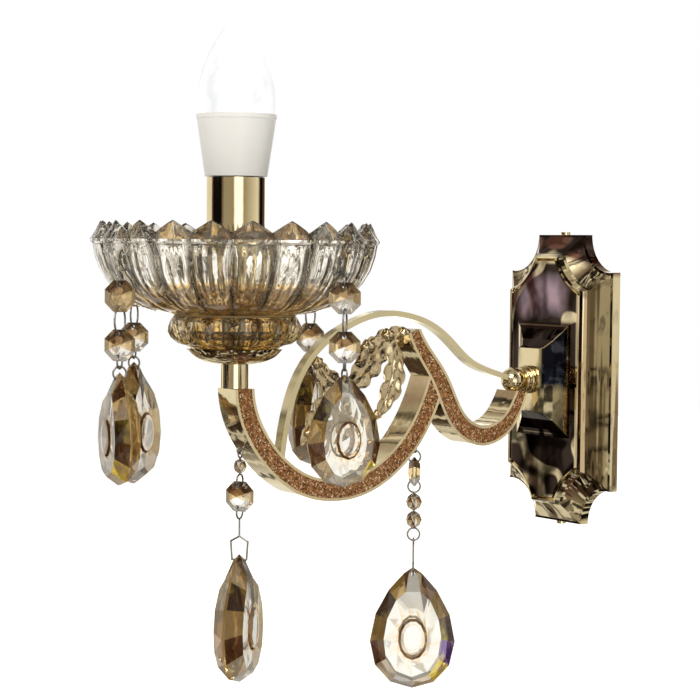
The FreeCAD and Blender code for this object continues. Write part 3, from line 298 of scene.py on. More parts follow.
def cast_gold(name, light, deep):
    """The plate's plating with deep waves, under painted reflections: dark bevels, a two-coloured boss, streaks
    down its flanks, dark loops on its panels and a pink patch.
    """
    look = Finish(name, {"Metallic": 1.0})
    soft, crisp = 1.5 * MM, 0.4 * MM
    x, y, z = (look.place(axis) for axis in "XYZ")
    wide, high = abs(x), abs(z)
    drift = (look.noise(55, 2) - 0.5) * (12 * MM)
    level = z + drift

    # zones for the painted reflections, by the plate's own sizes
    flank = (1.0 - wide.before(26.2 * MM, soft)) * high.before(56 * MM, 4 * MM)
    boss = wide.before(21.5 * MM, soft) * high.before(30 * MM, soft) * y.before(-16.4 * MM, crisp)
    panel = wide.before(25.8 * MM, soft) * high.before(60.2 * MM, soft) * y.before(-15.2 * MM, crisp)
    bevel = (z + wide * 0.3).past(64 * MM, 3 * MM)
    slant = high - wide * 1.037  # 7.7 mm on the boss's corner edges
    right_face = boss * x.past(8.2 * MM, crisp) * slant.before(7.5 * MM, crisp)
    steep_faces = boss * high.past(16.2 * MM, crisp) * slant.past(7.9 * MM, crisp)
    aside, edge = x + drift * 2.0, 10 * MM
    # a painted pink and violet reflection on the upper panel
    painted_pink_reflection = level.past(30 * MM, edge) * level.before(56 * MM, edge) * aside.past(-24 * MM, edge) \
        * aside.before(20 * MM, edge)
    middle = level.past(-20 * MM, 4 * MM) * level.before(30 * MM, 4 * MM)

    # painted reflection patterns within the zones
    reflection_loop = look.ramp(look.noise(33, 0.5, 0.4), (0.47, WHITE), (0.485, BLACK), (0.53, BLACK), (0.545, WHITE))
    reflection_streak = look.mask(look.noise(130, 2.5, 0.6, (1, 1, 0.03)), 0.47, 0.51)
    reflection_blot = look.mask(look.noise(48, 1.5, 0.45), 0.50, 0.545)
    reflection_fleck = look.mask(look.noise(150, 2), 0.50, 0.62)
    # base colour: gold under painted reflections: dark loops and a dark middle band on the panels, brown
    # streaks down the flanks, a pink and violet patch, dark bevels, a blue-black right face and dark steep
    # faces on the boss
    look.paint("Base Color", look.coated(
        look.mix(look.noise(35), light, deep),
        (panel * (1.0 - boss) * (reflection_loop + middle).clamped(), (0.035, 0.022, 0.016)),
        (flank * reflection_streak * 0.85, (0.17, 0.11, 0.05)),
        (painted_pink_reflection * 0.8, look.mix(look.noise(90), (0.62, 0.36, 0.34), (0.36, 0.34, 0.50))),
        (bevel, look.mix(reflection_blot, (0.03, 0.018, 0.014), (0.15, 0.065, 0.04))),
        (right_face * level.past(-8 * MM, 6 * MM),
         look.mix(reflection_fleck, (0.016, 0.018, 0.030), (0.10, 0.12, 0.18))),
        (steep_faces, (0.03, 0.016, 0.013))))
    look.paint("Roughness", look.noise(90, 4, 0.6) * 0.07 + 0.02)
    ripple = look.noise(170, 1.0, 0.5, (1, 1, 0.08)) * flank * 0.3
    look.bump(look.noise(60, 2) * 0.25 + look.noise(26, 1.5, 0.45) * 3.0 + ripple, MM)
    return look.material


def glitter(name, ground, glint):
    """Crushed flakes set in copper lacquer: each cell has its own tone, tilt and shine; the brightest cells are
    painted glints.
    """
    look = Finish(name)
    flakes = 1700
    flake = look.cells(flakes, out="Color")
    tone, shine = (look.add("ShaderNodeSeparateColor", {}, {0: flake}, channel) for channel in (0, 1))
    look.paint("Base Color", look.ramp(tone * 0.8 + look.noise(260, 3, 0.6) * 0.25,
                                       (0.10, (0.05, 0.018, 0.006)), (0.50, ground),
                                       (0.80, (0.48, 0.22, 0.07)), (0.985, glint)))
    look.paint("Metallic", (shine * 1.6).clamped() * 0.7)
    look.paint("Roughness", 0.6 - tone * 0.25)
    look.bump(look.cells(flakes) * 0.7 + tone * 0.6, 0.25 * MM)
    return look.material


def cut_crystal(name, *tones):
    """Cut crystal whose facets keep their own painted tone, which stands in for the reflections and coloured
    fire they show, picked along a row of tones by the facet's number.
    """
    look = Finish(name, {"Transmission Weight": 0.78, "IOR": 1.52, "Roughness": 0.0})
    stops = [(k / (len(tones) - 1), tone) for k, tone in enumerate(tones)]
    look.paint("Base Color", look.ramp(look.marked("facet") * (0.70 + look.noise(120, 2) * 0.6), *stops))
    look.bump(look.noise(160, 2), 0.03 * MM)
    return look.material


def dish_glass(name, clear, amber, groove_shade, low, high, ripple=0.13, stretch=0.22):
    """Pressed glass, amber at its foot and clear at its rim, with painted brown shade in its grooves and
    painted dark streaks for its reflections.
    """
    look = Finish(name, {"Transmission Weight": 0.97, "IOR": 1.5, "Roughness": 0.0})
    level = ((look.place("Z") - low) / (high - low) + (look.noise(90, 3) - 0.5) * 0.5).clamped()
    between = [0.3 * a + 0.7 * c for a, c in zip(amber, clear)]
    body = look.ramp(level, (0.16, amber), (0.44, between), (0.7, clear))
    # painted dark streaks for the reflections in the glass; with the groove mask they place the painted brown
    # shade
    reflection_streak = look.mask(look.noise(150, 3, 0.6, (1, 1, stretch)), 0.52, 0.60)
    shade = (look.marked("groove") * 0.7 + reflection_streak * 0.6).clamped()
    look.paint("Base Color", look.mix(shade, body, groove_shade))
    look.bump(look.noise(130, 2), ripple * MM)
    return look.material


def moulding(name, tone, roughness=0.4):
    """Moulded plastic or rubber with a fine grain."""
    look = Finish(name)
    look.paint("Base Color", look.mix(look.noise(60, 3), tone, [c * 0.92 for c in tone[:3]]))
    look.paint("Roughness", look.noise(200, 3) * 0.15 + (roughness - 0.07))
    look.bump(look.noise(900, 2), 0.02 * MM)
    return look.material


def metal(name, tone, roughness=0.25):
    """Plain worked metal: zinc, steel or brass."""
    look = Finish(name, {"Metallic": 1.0})
    look.paint("Base Color", look.mix(look.noise(120, 4), tone, [c * 0.7 for c in tone[:3]]))
    look.paint("Roughness", look.noise(300, 4, 0.6) * 0.25 + (roughness - 0.1))
    look.bump(look.noise(700, 3), 0.03 * MM)
    return look.material


def glowing(name, tone, strength):
    """The lit diffuser: whitest in its middle, with a faint cloud in the plastic."""
    look = Finish(name, {"Emission Strength": strength, "Roughness": 0.25, "Coat Weight": 1.0,
                         "Coat IOR": 1.7})
    look.paint("Base Color", look.mix(look.noise(40, 3), tone, (0.2, 0.2, 0.2)))
    cloud = look.noise(60, 4, 0.6, (1, 1, 0.45))
    look.paint("Emission Color", look.ramp(cloud, (0.42, (0.80, 0.815, 0.83)), (0.54, WHITE)))
    look.bump(look.noise(110, 2), 0.3 * MM)
    return look.material


def dress(nodes, material):
    """Gives these CAD nodes the material in every slot that they have."""
    for name in nodes:
        slots = NODES[name].data.materials
        if not slots:
            slots.append(material)
        for k in range(len(slots)):
            slots[k] = material


# ---------------------------------------------------------------- meshes
def new_mesh(name, points, faces):
    mesh = bpy.data.meshes.new(name)
    mesh.from_pydata([tuple(p) for p in points], [], faces)
    return mesh


def finished_piece(name, mesh, material, body, node, smooth=None):
    """The piece that stands for a CAD node; smooth is the angle in degrees below which faces blend."""
    tidy = bmesh.new()
    tidy.from_mesh(mesh)
    bmesh.ops.remove_doubles(tidy, verts=tidy.verts, dist=1e-6)
    bmesh.ops.recalc_face_normals(tidy, faces=tidy.faces)
    for face in tidy.faces:
        face.smooth = smooth is not None
    if smooth is not None:
        for edge in tidy.edges:
            edge.smooth = len(edge.link_faces) == 2 and edge.calc_face_angle(0) < math.radians(smooth)
    tidy.to_mesh(mesh)
    tidy.free()
    piece = bpy.data.objects.new(name, mesh)
    bpy.context.scene.collection.objects.link(piece)
    mesh.materials.clear()
    mesh.materials.append(material)
    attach(piece, body)
    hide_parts(node)


def grid_faces(rows, columns, closed=False):
    """Quads over a grid of points held row after row."""
    faces = []
    for i in range(rows - 1):
        for j in range(columns if closed else columns - 1):
            k = (j + 1) % columns
            faces.append((i * columns + j, i * columns + k, (i + 1) * columns + k, (i + 1) * columns + j))
    return faces


class GeometryTree(Network):
    """A Geometry Nodes tree with named inputs, run once on a mesh to give a plain mesh."""

    def __init__(self, name, **inputs):
        tree = bpy.data.node_groups.new(name, "GeometryNodeTree")
        super().__init__(tree)
        self.values = {}
        face = tree.interface
        face.new_socket("Geometry", in_out="INPUT", socket_type="NodeSocketGeometry")
        for label, value in inputs.items():
            kind = ("NodeSocketMaterial" if isinstance(value, bpy.types.Material) else
                    "NodeSocketInt" if isinstance(value, int) else "NodeSocketFloat")
            socket = face.new_socket(label.replace("_", " ").capitalize(), in_out="INPUT", socket_type=kind)
            self.values[socket.identifier] = value
        face.new_socket("Geometry", in_out="OUTPUT", socket_type="NodeSocketGeometry")
        self.entry = tree.nodes.new("NodeGroupInput")

    def input(self, label):
        return Signal(self, self.entry.outputs[label])

    def finish(self, geometry, material):
        whole = self.add("GeometryNodeRealizeInstances", {}, {0: geometry})
        painted = self.add("GeometryNodeSetMaterial", {}, {"Geometry": whole, "Material": material})
        end = self.tree.nodes.new("NodeGroupOutput")
        self.tree.links.new(painted.socket, end.inputs[0])

    def run(self, mesh):
        """The tree's result on this mesh, as a plain mesh."""
        carrier = bpy.data.objects.new("carrier", mesh)
        bpy.context.scene.collection.objects.link(carrier)
        modifier = carrier.modifiers.new("tree", "NODES")
        modifier.node_group = self.tree
        for identifier, value in self.values.items():
            modifier[identifier] = value
        ready = carrier.evaluated_get(bpy.context.evaluated_depsgraph_get())
        made = bpy.data.meshes.new_from_object(ready)
        bpy.data.objects.remove(carrier)
        return made


def ring_tree(material, count, centre):
    """Repeats one sector round the candle's axis and welds the sectors."""
    tree = GeometryTree("Sectors round an axis", count=count, weld=SECTOR_WELD, material=material)
    spots = tree.add("GeometryNodePoints", {}, {"Count": tree.input("Count")})
    angle = tree.add("GeometryNodeInputIndex") * (2 * math.pi) / tree.input("Count")
    turn = tree.add("ShaderNodeCombineXYZ", {}, {"Z": angle})
    copies = tree.add("GeometryNodeInstanceOnPoints", {}, {"Points": spots, "Rotation": turn,
                                                          "Instance": tree.input("Geometry")})
    whole = tree.add("GeometryNodeRealizeInstances", {}, {0: copies})
    welded = tree.add("GeometryNodeMergeByDistance", {}, {"Geometry": whole, "Distance": tree.input("Weld")})
    placed = tree.add("GeometryNodeTransform", {}, {"Geometry": welded, "Translation": centre})
    tree.finish(placed, tree.input("Material"))
    return tree


def sector(count, first_angle, steps, rows, shape):
    """One sector as a mesh: shape(row, across) gives radius and height in mm, across from -1 to 1."""
    points, grooves, columns = [], [], steps + 1
    for row in range(rows):
        for j in range(columns):
            across = 2 * j / steps - 1
            radius, high = shape(row, across)
            turn = math.radians(first_angle) + across * math.pi / count
            points.append((radius * MM * math.cos(turn), radius * MM * math.sin(turn), high * MM))
            # how near each point lies to a groove, which places the painted groove shade
            grooves.append(max(0.0, abs(across) - 0.7) / 0.3)
    last = (rows - 1) * columns
    closing = [(j, j + 1, last + j + 1, last + j) for j in range(steps)]
    mesh = new_mesh("sector", points, grid_faces(rows, columns) + closing)
    mesh.attributes.new("groove", "FLOAT", "POINT").data.foreach_set("value", grooves)
    return mesh


def finer(rows, split):
    """The same rows of numbers with others set evenly between them."""
    made = []
    for first, second in zip(rows, rows[1:]):
        made += [[a + (b - a) * (step / split) for a, b in zip(first, second)] for step in range(split)]
    return made + [rows[-1]]


# ---------------------------------------------------------------- operators
class SCONCE_OT_metal(bpy.types.Operator):
    """Gives the plate, arms, strap and fittings their gold, glitter, steel and plastic"""
    bl_idname = "sconce.metal"
    bl_label = "Metalwork"

    def execute(self, context):
        tint = context.scene.sconce_colours
        dress(("wall_plate",), cast_gold("cast gold", tint.gold, tint.gold_deep))
        dress(("arm_upper", "arm_lower", "cup_holder"),
              gold("arm gold", tint.gold, tint.gold_deep, wave=0.22))
        dress(("boss_collar", "knuckle_ball", "post", "candle_sleeve", "plate_screws", "stem_nut"),
              gold("gold plating", tint.gold, tint.gold_deep))
        dress(("scroll_strap",), gold("strap gold", tint.strap_gold, tint.gold, roughness=0.16))
        dress(("inlay_upper_near", "inlay_upper_far", "inlay_lower_near", "inlay_lower_far"),
              glitter("copper glitter", tint.glitter, tint.glint))
        dress(("wall_bracket", "entry_nipple", "nipple_washer", "nipple_nut", "stem_rod", "terminal_screws"),
              metal("zinc plate", (0.55, 0.56, 0.58)))
        dress(("terminal_block", "led_board"), moulding("white moulding", (0.80, 0.80, 0.78)))
        dress(("lampholder_body",), moulding("holder moulding", (0.05, 0.05, 0.05)))
        dress(("supply_wires",), moulding("wire insulation", (0.30, 0.22, 0.10)))
        dress(("cushion_washers",), moulding("cushion rubber", (0.33, 0.24, 0.11), 0.6))
        dress(("holder_shell", "bulb_contact", "holder_contact"),
              metal("contact brass", (0.75, 0.58, 0.28), 0.2))
        dress(("bulb_cap",), metal("nickel cap", (0.70, 0.69, 0.66), 0.2))
        dress(("arm_eyes", *("wires_" + name for name in STRINGS)),
              metal("dark wire", (0.42, 0.41, 0.38), 0.2))
        return {"FINISHED"}


class SCONCE_OT_bulb(bpy.types.Operator):
    """Gives the lit bulb its plastic and its glow"""
    bl_idname = "sconce.bulb"
    bl_label = "Bulb"

    def execute(self, context):
        tint = context.scene.sconce_colours
        dress(("bulb_housing",), moulding("bulb housing", tint.bulb, 0.35))
        dress(("bulb_insulator",), moulding("bulb insulator", (0.04, 0.03, 0.03)))
        dress(("bulb_diffuser",), glowing("lit diffuser", (0.1, 0.1, 0.1), 1.0))
        return {"FINISHED"}


class SCONCE_OT_dish(bpy.types.Operator):
    """Builds the fluted dish and the dimpled cup below it"""
    bl_idname = "sconce.dish"
    bl_label = "Glass dish and cup"

    def execute(self, context):
        tint, size = context.scene.sconce_colours, context.scene.sconce_sizes
        clear_level, cup_clear_level = DISH_LOW.z + 22 * MM, CUP_HIGH.z * 2
        self.dish(dish_glass("dish glass", tint.clear, tint.amber, tint.groove_shade, DISH_LOW.z, clear_level),
                  size.petals, size.groove / MM)
        self.cup(dish_glass("cup glass", tint.clear, tint.olive, tint.groove_shade, CUP_LOW.z, cup_clear_level,
                            ripple=0.6, stretch=0.7), size.dimples)
        return {"FINISHED"}

    def dish(self, glass, petals, groove):
        base, tip = DISH_LOW.z / MM, DISH_HIGH.z / MM
        brow = DISH_RIDGE - base
        # radius, height and how much of the groove and of the petal's rise each row takes
        profile = ((5.1, 0, 0, 0), (18, 0, 0, 0), (30.5, 0, 0.0, 0), (39, 1.6, 0.35, 0), (46.8, 4.5, 0.6, 0),
                   (53.8, 8.8, 0.75, 0), (59.3, 15.0, 0.85, 0), (62.8, 21.0, 0.95, 0), (64.8, 27.0, 1, 0),
                   (65.7, brow - 1.8, 0.9, 0), (66.7, brow - 0.9, 0.5, 0), (66.7, brow + 0.1, 0.4, 0.02),
                   (64.4, brow, 0.3, 0.52), (62.3, brow, 0.25, 1.0), (60.9, brow - 0.2, 0.25, 0.93),
                   (59.9, brow - 1.2, 0.3, 0.4), (59.6, brow - 3, 0.4, 0), (59.0, brow - 7, 0.6, 0),
                   (57.4, 21.5, 0.6, 0), (54.4, 16.2, 0.5, 0), (49.5, 12.0, 0.35, 0), (42, 8.2, 0.2, 0),
                   (34, 5.6, 0, 0), (26, 4.2, 0, 0), (15, 4.2, 0, 0), (5.1, 4.2, 0, 0))
        split = 2
        rows, inner_wall = finer(profile, split), 16 * split

        def petal(row, across):
            radius, high, carve, rise = rows[row]
            reach = abs(across)
            cut = groove * carve * (0.10 * reach ** 2 + 0.90 * reach ** 9)  # a soft hollow and a sharp groove
            if row > inner_wall:  # two flutes behind each petal
                cut += 0.9 * carve * abs(4 * abs(reach - 0.5) - 1)
            arch = (tip - DISH_RIDGE) * rise * (1 - 0.62 * reach ** 1.1)
            return radius - cut, base + high + arch

        mesh = ring_tree(glass, petals, (CANDLE.x, CANDLE.y, 0)).run(
            sector(petals, PETAL_TURN, 24, len(rows), petal))
        finished_piece("dish", mesh, glass, "root", "bobeche", 24)

    def cup(self, glass, dimples):
        low, deep = CUP_LOW.z / MM, (CUP_HIGH.z - CUP_LOW.z) / MM
        wide = (CUP_HIGH.x - CUP_LOW.x) / 2 / MM
        # radius and height of each row
        profile = ((5.6, 0), (11, 0), (16.4, 1.9), (20.6, 4.8), (wide - 5.0, 6.4), (wide - 1.4, 9.0),
                   (wide, 11.8), (wide - 0.2, 14.4), (wide - 1.2, 16.9), (wide - 2.4, deep), (wide - 4.2, deep),
                   (wide - 5.6, deep - 0.4), (wide - 6.0, 13), (wide - 9.6, 7.6), (17, 4.8), (11, 3.6),
                   (5.6, 3.6))
        split, middle, half_height, dent = 3, 11.5, 6.4, 2.2
        rows, outer_wall = finer(profile, split), 9 * split

        def dimpled(row, across):
            radius, up = rows[row]
            if row <= outer_wall:
                spread = math.hypot(across, (up - middle) / half_height)
                radius -= dent * max(0.0, 1 - spread ** 2) ** 0.8
            return radius, low + up

        mesh = ring_tree(glass, dimples, (CANDLE.x, CANDLE.y, 0)).run(
            sector(dimples, 0.0, 14, len(rows), dimpled))
        finished_piece("dimpled_cup", mesh, glass, "root", "lower_glass_cup", 22)


def turned_frame(centre, facing):
    """Local x looks out along facing (degrees from +X), y runs across and z is up; centre in metres."""
    return Matrix.Translation(centre) @ Matrix.Rotation(math.radians(facing), 4, "Z")


def cut_pear(height, width, step):
    """Points (mm), faces and facet tones of a cut pear: big rim facets, a flat face and a raised oval; the
    tones are painted reflections.
    """
    thick, neck, shoulder, taper = width * 0.34 / 2, 0.7, height * 0.16, 1.8
    girdle_steps, girdle_share = 7, 0.10

    def outline(t):
        return math.sin(t) * math.sin(t / 2) ** PEAR_FULLNESS, height / 2 * math.cos(t)

    reach = max(outline(math.pi * k / 100)[0] for k in range(101))

    def depth(z, share=1.0):
        rise = max(0.0, (z - shoulder) / (height / 2 - shoulder))
        return share * (thick - (thick - neck) * rise ** taper)

    edge = [outline(math.pi * k / girdle_steps) for k in range(girdle_steps + 1)]
    edge = [(y / reach * width / 2, z) for y, z in edge]
    # half of the flat face's outline, in shares of the width and height, from the tip down
    flat = [(y * width, z * height) for y, z in ((0.05, 0.455), (0.085, 0.31), (0.20, 0.24), (0.30, 0.09),
                                                 (0.34, -0.08), (0.31, -0.24), (0.19, -0.37), (0.0, -0.42))]
    # the oval's rings: half width and half height in shares, how far out they stand in steps of the oval,
    # and how much further out every second point is
    oval_rings = ((0.215, 0.22, 0.0, 0.13), (0.172, 0.172, 0.0, 0), (0.142, 0.150, 1.0, 0),
                  (0.11, 0.118, 1.25, 0))
    points, faces, tones, rims = [], [], [], []

    def ring(spots):
        points.extend(spots)
        return list(range(len(points) - len(spots), len(points)))

    def add(tone, *corners):
        faces.append(corners)
        tones.append(tone)

    def both_halves(half):
        """The ring through half an outline and its mirror image, with points on the middle line kept once."""
        return half + [(-y, z) for y, z in half[::-1] if y > 1e-6]

    for side, shades in ((1, PENDANT_RIM), (-1, PENDANT_BACK)):
        rim = ring([(side * depth(z, girdle_share), y, z) for y, z in both_halves(edge)])
        face = ring([(side * depth(z), y, z) for y, z in both_halves(flat)])
        rims.append(rim)
        last = len(face) - 1
        for k in range(girdle_steps):
            add(shades[k], rim[k], rim[k + 1], face[k + 1], face[k])
            add(shades[-1 - k], rim[-k], rim[-k - 1], face[last - k - 1], face[last - k])
        add(shades[0], rim[0], face[0], face[last])
        add(0.0, face[0], face[1], face[last - 1], face[last])
        inner = face[1:last]
        count, centre = len(inner), -0.075 * height
        turns = [math.pi * (2 * k + 1) / count for k in range(count)]
        ovals = [ring([(side * (depth(centre) + (lift + jump * (k % 2)) * step), a * width * math.sin(t),
                        centre + b * height * math.cos(t)) for k, t in enumerate(turns)])
                 for a, b, lift, jump in oval_rings]
        # painted tones of the facets between the oval's rings, darkest on its slope
        for tone, other, first, second in ((0.0, 0.04, inner, ovals[0]), (0.0, 0.14, ovals[0], ovals[1]),
                                           (0.5, 0.4, ovals[1], ovals[2]), (0.06, 0.1, ovals[2], ovals[3])):
            for k in range(count):
                after = (k + 1) % count
                add(tone, first[k], first[after], second[after])
                add(other, first[k], second[after], second[k])
        add(0.0, *ovals[3])
    for k in range(len(rims[0])):
        after = (k + 1) % len(rims[0])
        add(0.2, rims[0][k], rims[0][after], rims[1][after], rims[1][k])
    return points, faces, tones


def cut_octagon(across, thick):
    """Points (mm), faces and facet tones of an octagon bead: broad facets, with painted dark reflections above
    and clear below.
    """
    points, faces, rings = [], [], {}
    corner = across / 2 / math.cos(math.pi / 8)
    for side in (1, -1):
        # shares of the width and the thickness
        for label, share, depth in (("girdle", 1.0, 0.16), ("table", 0.56, 0.86)):
            rings[side, label] = len(points)
            reach = corner * share
            for k in range(8):
                t = 2 * math.pi * (k + 0.5) / 8
                points.append((side * thick / 2 * depth, reach * math.sin(t), reach * math.cos(t)))
        points.append((side * thick / 2, 0, 0))
        g, t = rings[side, "girdle"], rings[side, "table"]
        for k in range(8):
            after = (k + 1) % 8
            faces += [(g + k, g + after, t + after, t + k), (t + k, t + after, len(points) - 1)]
    a, b = rings[1, "girdle"], rings[-1, "girdle"]
    faces += [(a + k, a + (k + 1) % 8, b + (k + 1) % 8, b + k) for k in range(8)]
    tones = []
    for face in faces:
        level = sum(points[i][2] for i in face) / len(face) / across
        # painted tones by height: dark reflections on the upper facets, clear below
        tones.append(0.5 if level > 0.28 else 0.36 if level > 0.1 else 0.2 if level > -0.05 else 0.0)
    return points, faces, tones


def round_cut(tall):
    """Points (mm) and faces of a small faceted round bead."""
    points, faces, count = [], [], 8
    levels = ((-0.5, 0.30), (-0.33, 0.78), (0, 1.0), (0.33, 0.78), (0.5, 0.30))
    for row, (up, wide) in enumerate(levels):
        for k in range(count):
            t = 2 * math.pi * (k + 0.5 * (row % 2)) / count
            points.append((wide * tall / 2 * math.cos(t), wide * tall / 2 * math.sin(t), up * tall))
    for row in range(len(levels) - 1):
        first, second = row * count, (row + 1) * count
        if row % 2:
            first, second = second, first
        for k in range(count):
            after = (k + 1) % count
            faces += [(first + k, first + after, second + k), (first + after, second + after, second + k)]
    return points, faces + [tuple(range(count)), tuple(range(4 * count, 5 * count))]


# each leaf of the ornament: (y, z) of its root and of its tip in mm, width, bend, scallops, twist
SPRAY = (((-105.5, 25.0), (-134.0, 11.0), 14.0, -1.0, 4, 1.2),
         ((-111.0, 19.0), (-121.0, -16.0), 12.5, 3.5, 4, 1.0),
         ((-117.0, 21.0), (-142.0, -4.0), 17.0, 1.0, 4, -1.5),
         ((-136.0, 1.0), (-165.0, -27.5), 15.0, -2.0, 5, 2.0),
         ((-139.0, -2.0), (-157.5, 12.5), 11.0, 3.0, 3, -1.0),
         ((-140.0, -4.0), (-146.0, -26.5), 12.0, 1.5, 4, 1.5))
# its round buds and the boss: (x, y, z) and radii along x, y and z
BUDS = (((0, -105.5, 24.5), (3.4, 3.4, 3.4)), ((0.5, -115.5, 24.0), (2.8, 3.3, 3.3)),
        ((0, -127.0, 18.5), (3.0, 4.0, 3.6)), ((0, -121.0, -14.5), (2.0, 2.4, 2.4)),
        ((0, -141.0, -3.0), (3.8, 6.3, 6.3)), ((0, -156.5, 11.5), (2.6, 3.2, 3.2)),
        ((0, -160.0, -22.0), (3.0, 3.8, 3.8)), ((0, -152.0, -17.0), (3.2, 3.6, 3.6)))


def leaf(root, tip, width, bend, scallops, twist):
    """Points (mm) and faces of a solid leaf with a midrib, slanting veins and a scalloped edge."""
    start, way = Vector((0, *root)), Vector((0, *tip)) - Vector((0, *root))
    side = Vector((0, -way.z, way.y)).normalized()
    rows, half = 37, 7
    round_edge = [j / half for j in range(-half, half + 1)] + [-j / half for j in range(-half + 1, half)]
    points = []
    for i in range(rows):
        s = i / (rows - 1)
        swell = math.sin(math.pi * (0.12 + 0.88 * s)) ** 0.6 if s < 1 else 0.0
        notch = abs(math.cos(scallops * math.pi * s)) ** 4
        reach = max(0.35, width / 2 * swell * (1 - 0.24 * notch))
        centre = start + way * s + side * bend * math.sin(math.pi * s)
        for n, a in enumerate(round_edge):
            front = 1 if n <= 2 * half else -1
            vein = 0.45 * math.cos(2 * math.pi * scallops * (s - 0.10 * abs(a)) + math.pi) * abs(a) ** 0.5
            body = (1 - a * a) ** 0.5 * (0.9 + vein) + 0.8 * max(0.0, 1 - abs(a) * 4.5)
            cup = 1.4 * (abs(a) ** 1.5 - 0.4) * swell + twist * a * math.sin(math.pi * s)
            stand = front * (0.25 + body * max(0.3, swell)) + cup
            points.append(centre + side * reach * a + Vector((stand, 0, 0)))
    count = len(round_edge)
    faces = grid_faces(rows, count, closed=True)
    faces += [tuple(range(count)), tuple((rows - 1) * count + k for k in range(count))]
    return points, faces


def bud(centre, radii, rows=13, columns=20):
    """Points (mm) and faces of an oval bud ribbed like a floret."""
    points = []
    for i in range(rows):
        polar = math.pi * (i + 0.35) / (rows - 0.3)
        for j in range(columns):
            t = 2 * math.pi * j / columns
            swell = math.sin(polar) * (1 - 0.14 * math.cos(5 * t) * math.sin(polar))
            points.append((centre[0] + radii[0] * math.cos(polar), centre[1] + radii[1] * swell * math.cos(t),
                           centre[2] + radii[2] * swell * math.sin(t)))
    faces = grid_faces(rows, columns, closed=True)
    return points, faces + [tuple(range(columns)), tuple((rows - 1) * columns + k for k in range(columns))]


def gathered(shapes):
    """One list of points and one of faces from many (points, faces)."""
    spots, sides = [], []
    for points, faces in shapes:
        sides += [tuple(len(spots) + i for i in face) for face in faces]
        spots += points
    return spots, sides


class SCONCE_OT_spray(bpy.types.Operator):
    """Sculpts the leaf ornament between the arms"""
    bl_idname = "sconce.spray"
    bl_label = "Leaf ornament"

    def execute(self, context):
        tint = context.scene.sconce_colours
        points, faces = gathered([leaf(*row) for row in SPRAY] + [bud(*row) for row in BUDS])
        material = gold("leaf gold", tint.gold, (0.40, 0.27, 0.13), roughness=0.06, wave=0.25, patch=110)
        mesh = new_mesh("leaf_spray", [Vector(p) * MM for p in points], faces)
        finished_piece("leaf_spray", mesh, material, "root", "leaf_flower", 50)
        return {"FINISHED"}


def islands(node):
    """The separate solids of a CAD node, highest first, as (lowest corner, highest corner)."""
    shape = bmesh.new()
    shape.from_mesh(NODES[node].data)
    bmesh.ops.remove_doubles(shape, verts=shape.verts, dist=1e-6)
    left, found = set(shape.verts), []
    while left:
        group, waiting = set(), [left.pop()]
        while waiting:
            spot = waiting.pop()
            group.add(spot)
            for link in spot.link_edges:
                other = link.other_vert(spot)
                if other in left:
                    left.remove(other)
                    waiting.append(other)
        spots = np.array([v.co for v in group])
        found.append((Vector(spots.min(0)), Vector(spots.max(0))))
    shape.free()
    return sorted(found, key=lambda pair: -pair[1].z)


def cut_piece(name, points, faces, tones, material, body, node, holes):
    """A faceted piece that remembers each facet's tone, drilled where its wires pass."""
    mesh = new_mesh(name, points, faces)
    mesh.attributes.new("facet", "FLOAT", "FACE").data.foreach_set("value", tones)
    outward = bmesh.new()
    outward.from_mesh(mesh)
    bmesh.ops.recalc_face_normals(outward, faces=outward.faces)
    outward.to_mesh(mesh)
    outward.free()
    drill = bpy.data.meshes.new("drill")
    tool = bmesh.new()
    for spot, facing in holes:
        bmesh.ops.create_cone(tool, cap_ends=True, segments=10, radius1=DRILL_RADIUS, radius2=DRILL_RADIUS,
                              depth=DRILL_LENGTH,
                              matrix=turned_frame(spot, facing) @ Matrix.Rotation(math.pi / 2, 4, "Y"))
    tool.to_mesh(drill)
    tool.free()
    carrier, cutter = bpy.data.objects.new("carrier", mesh), bpy.data.objects.new("cutter", drill)
    for thing in (carrier, cutter):
        bpy.context.scene.collection.objects.link(thing)
    modifier = carrier.modifiers.new("drill", "BOOLEAN")
    modifier.operation, modifier.solver, modifier.object = "DIFFERENCE", "EXACT", cutter
    ready = carrier.evaluated_get(bpy.context.evaluated_depsgraph_get())
    made = bpy.data.meshes.new_from_object(ready)
    for thing in (carrier, cutter):
        bpy.data.objects.remove(thing)
    finished_piece(name, made, material, body, node)


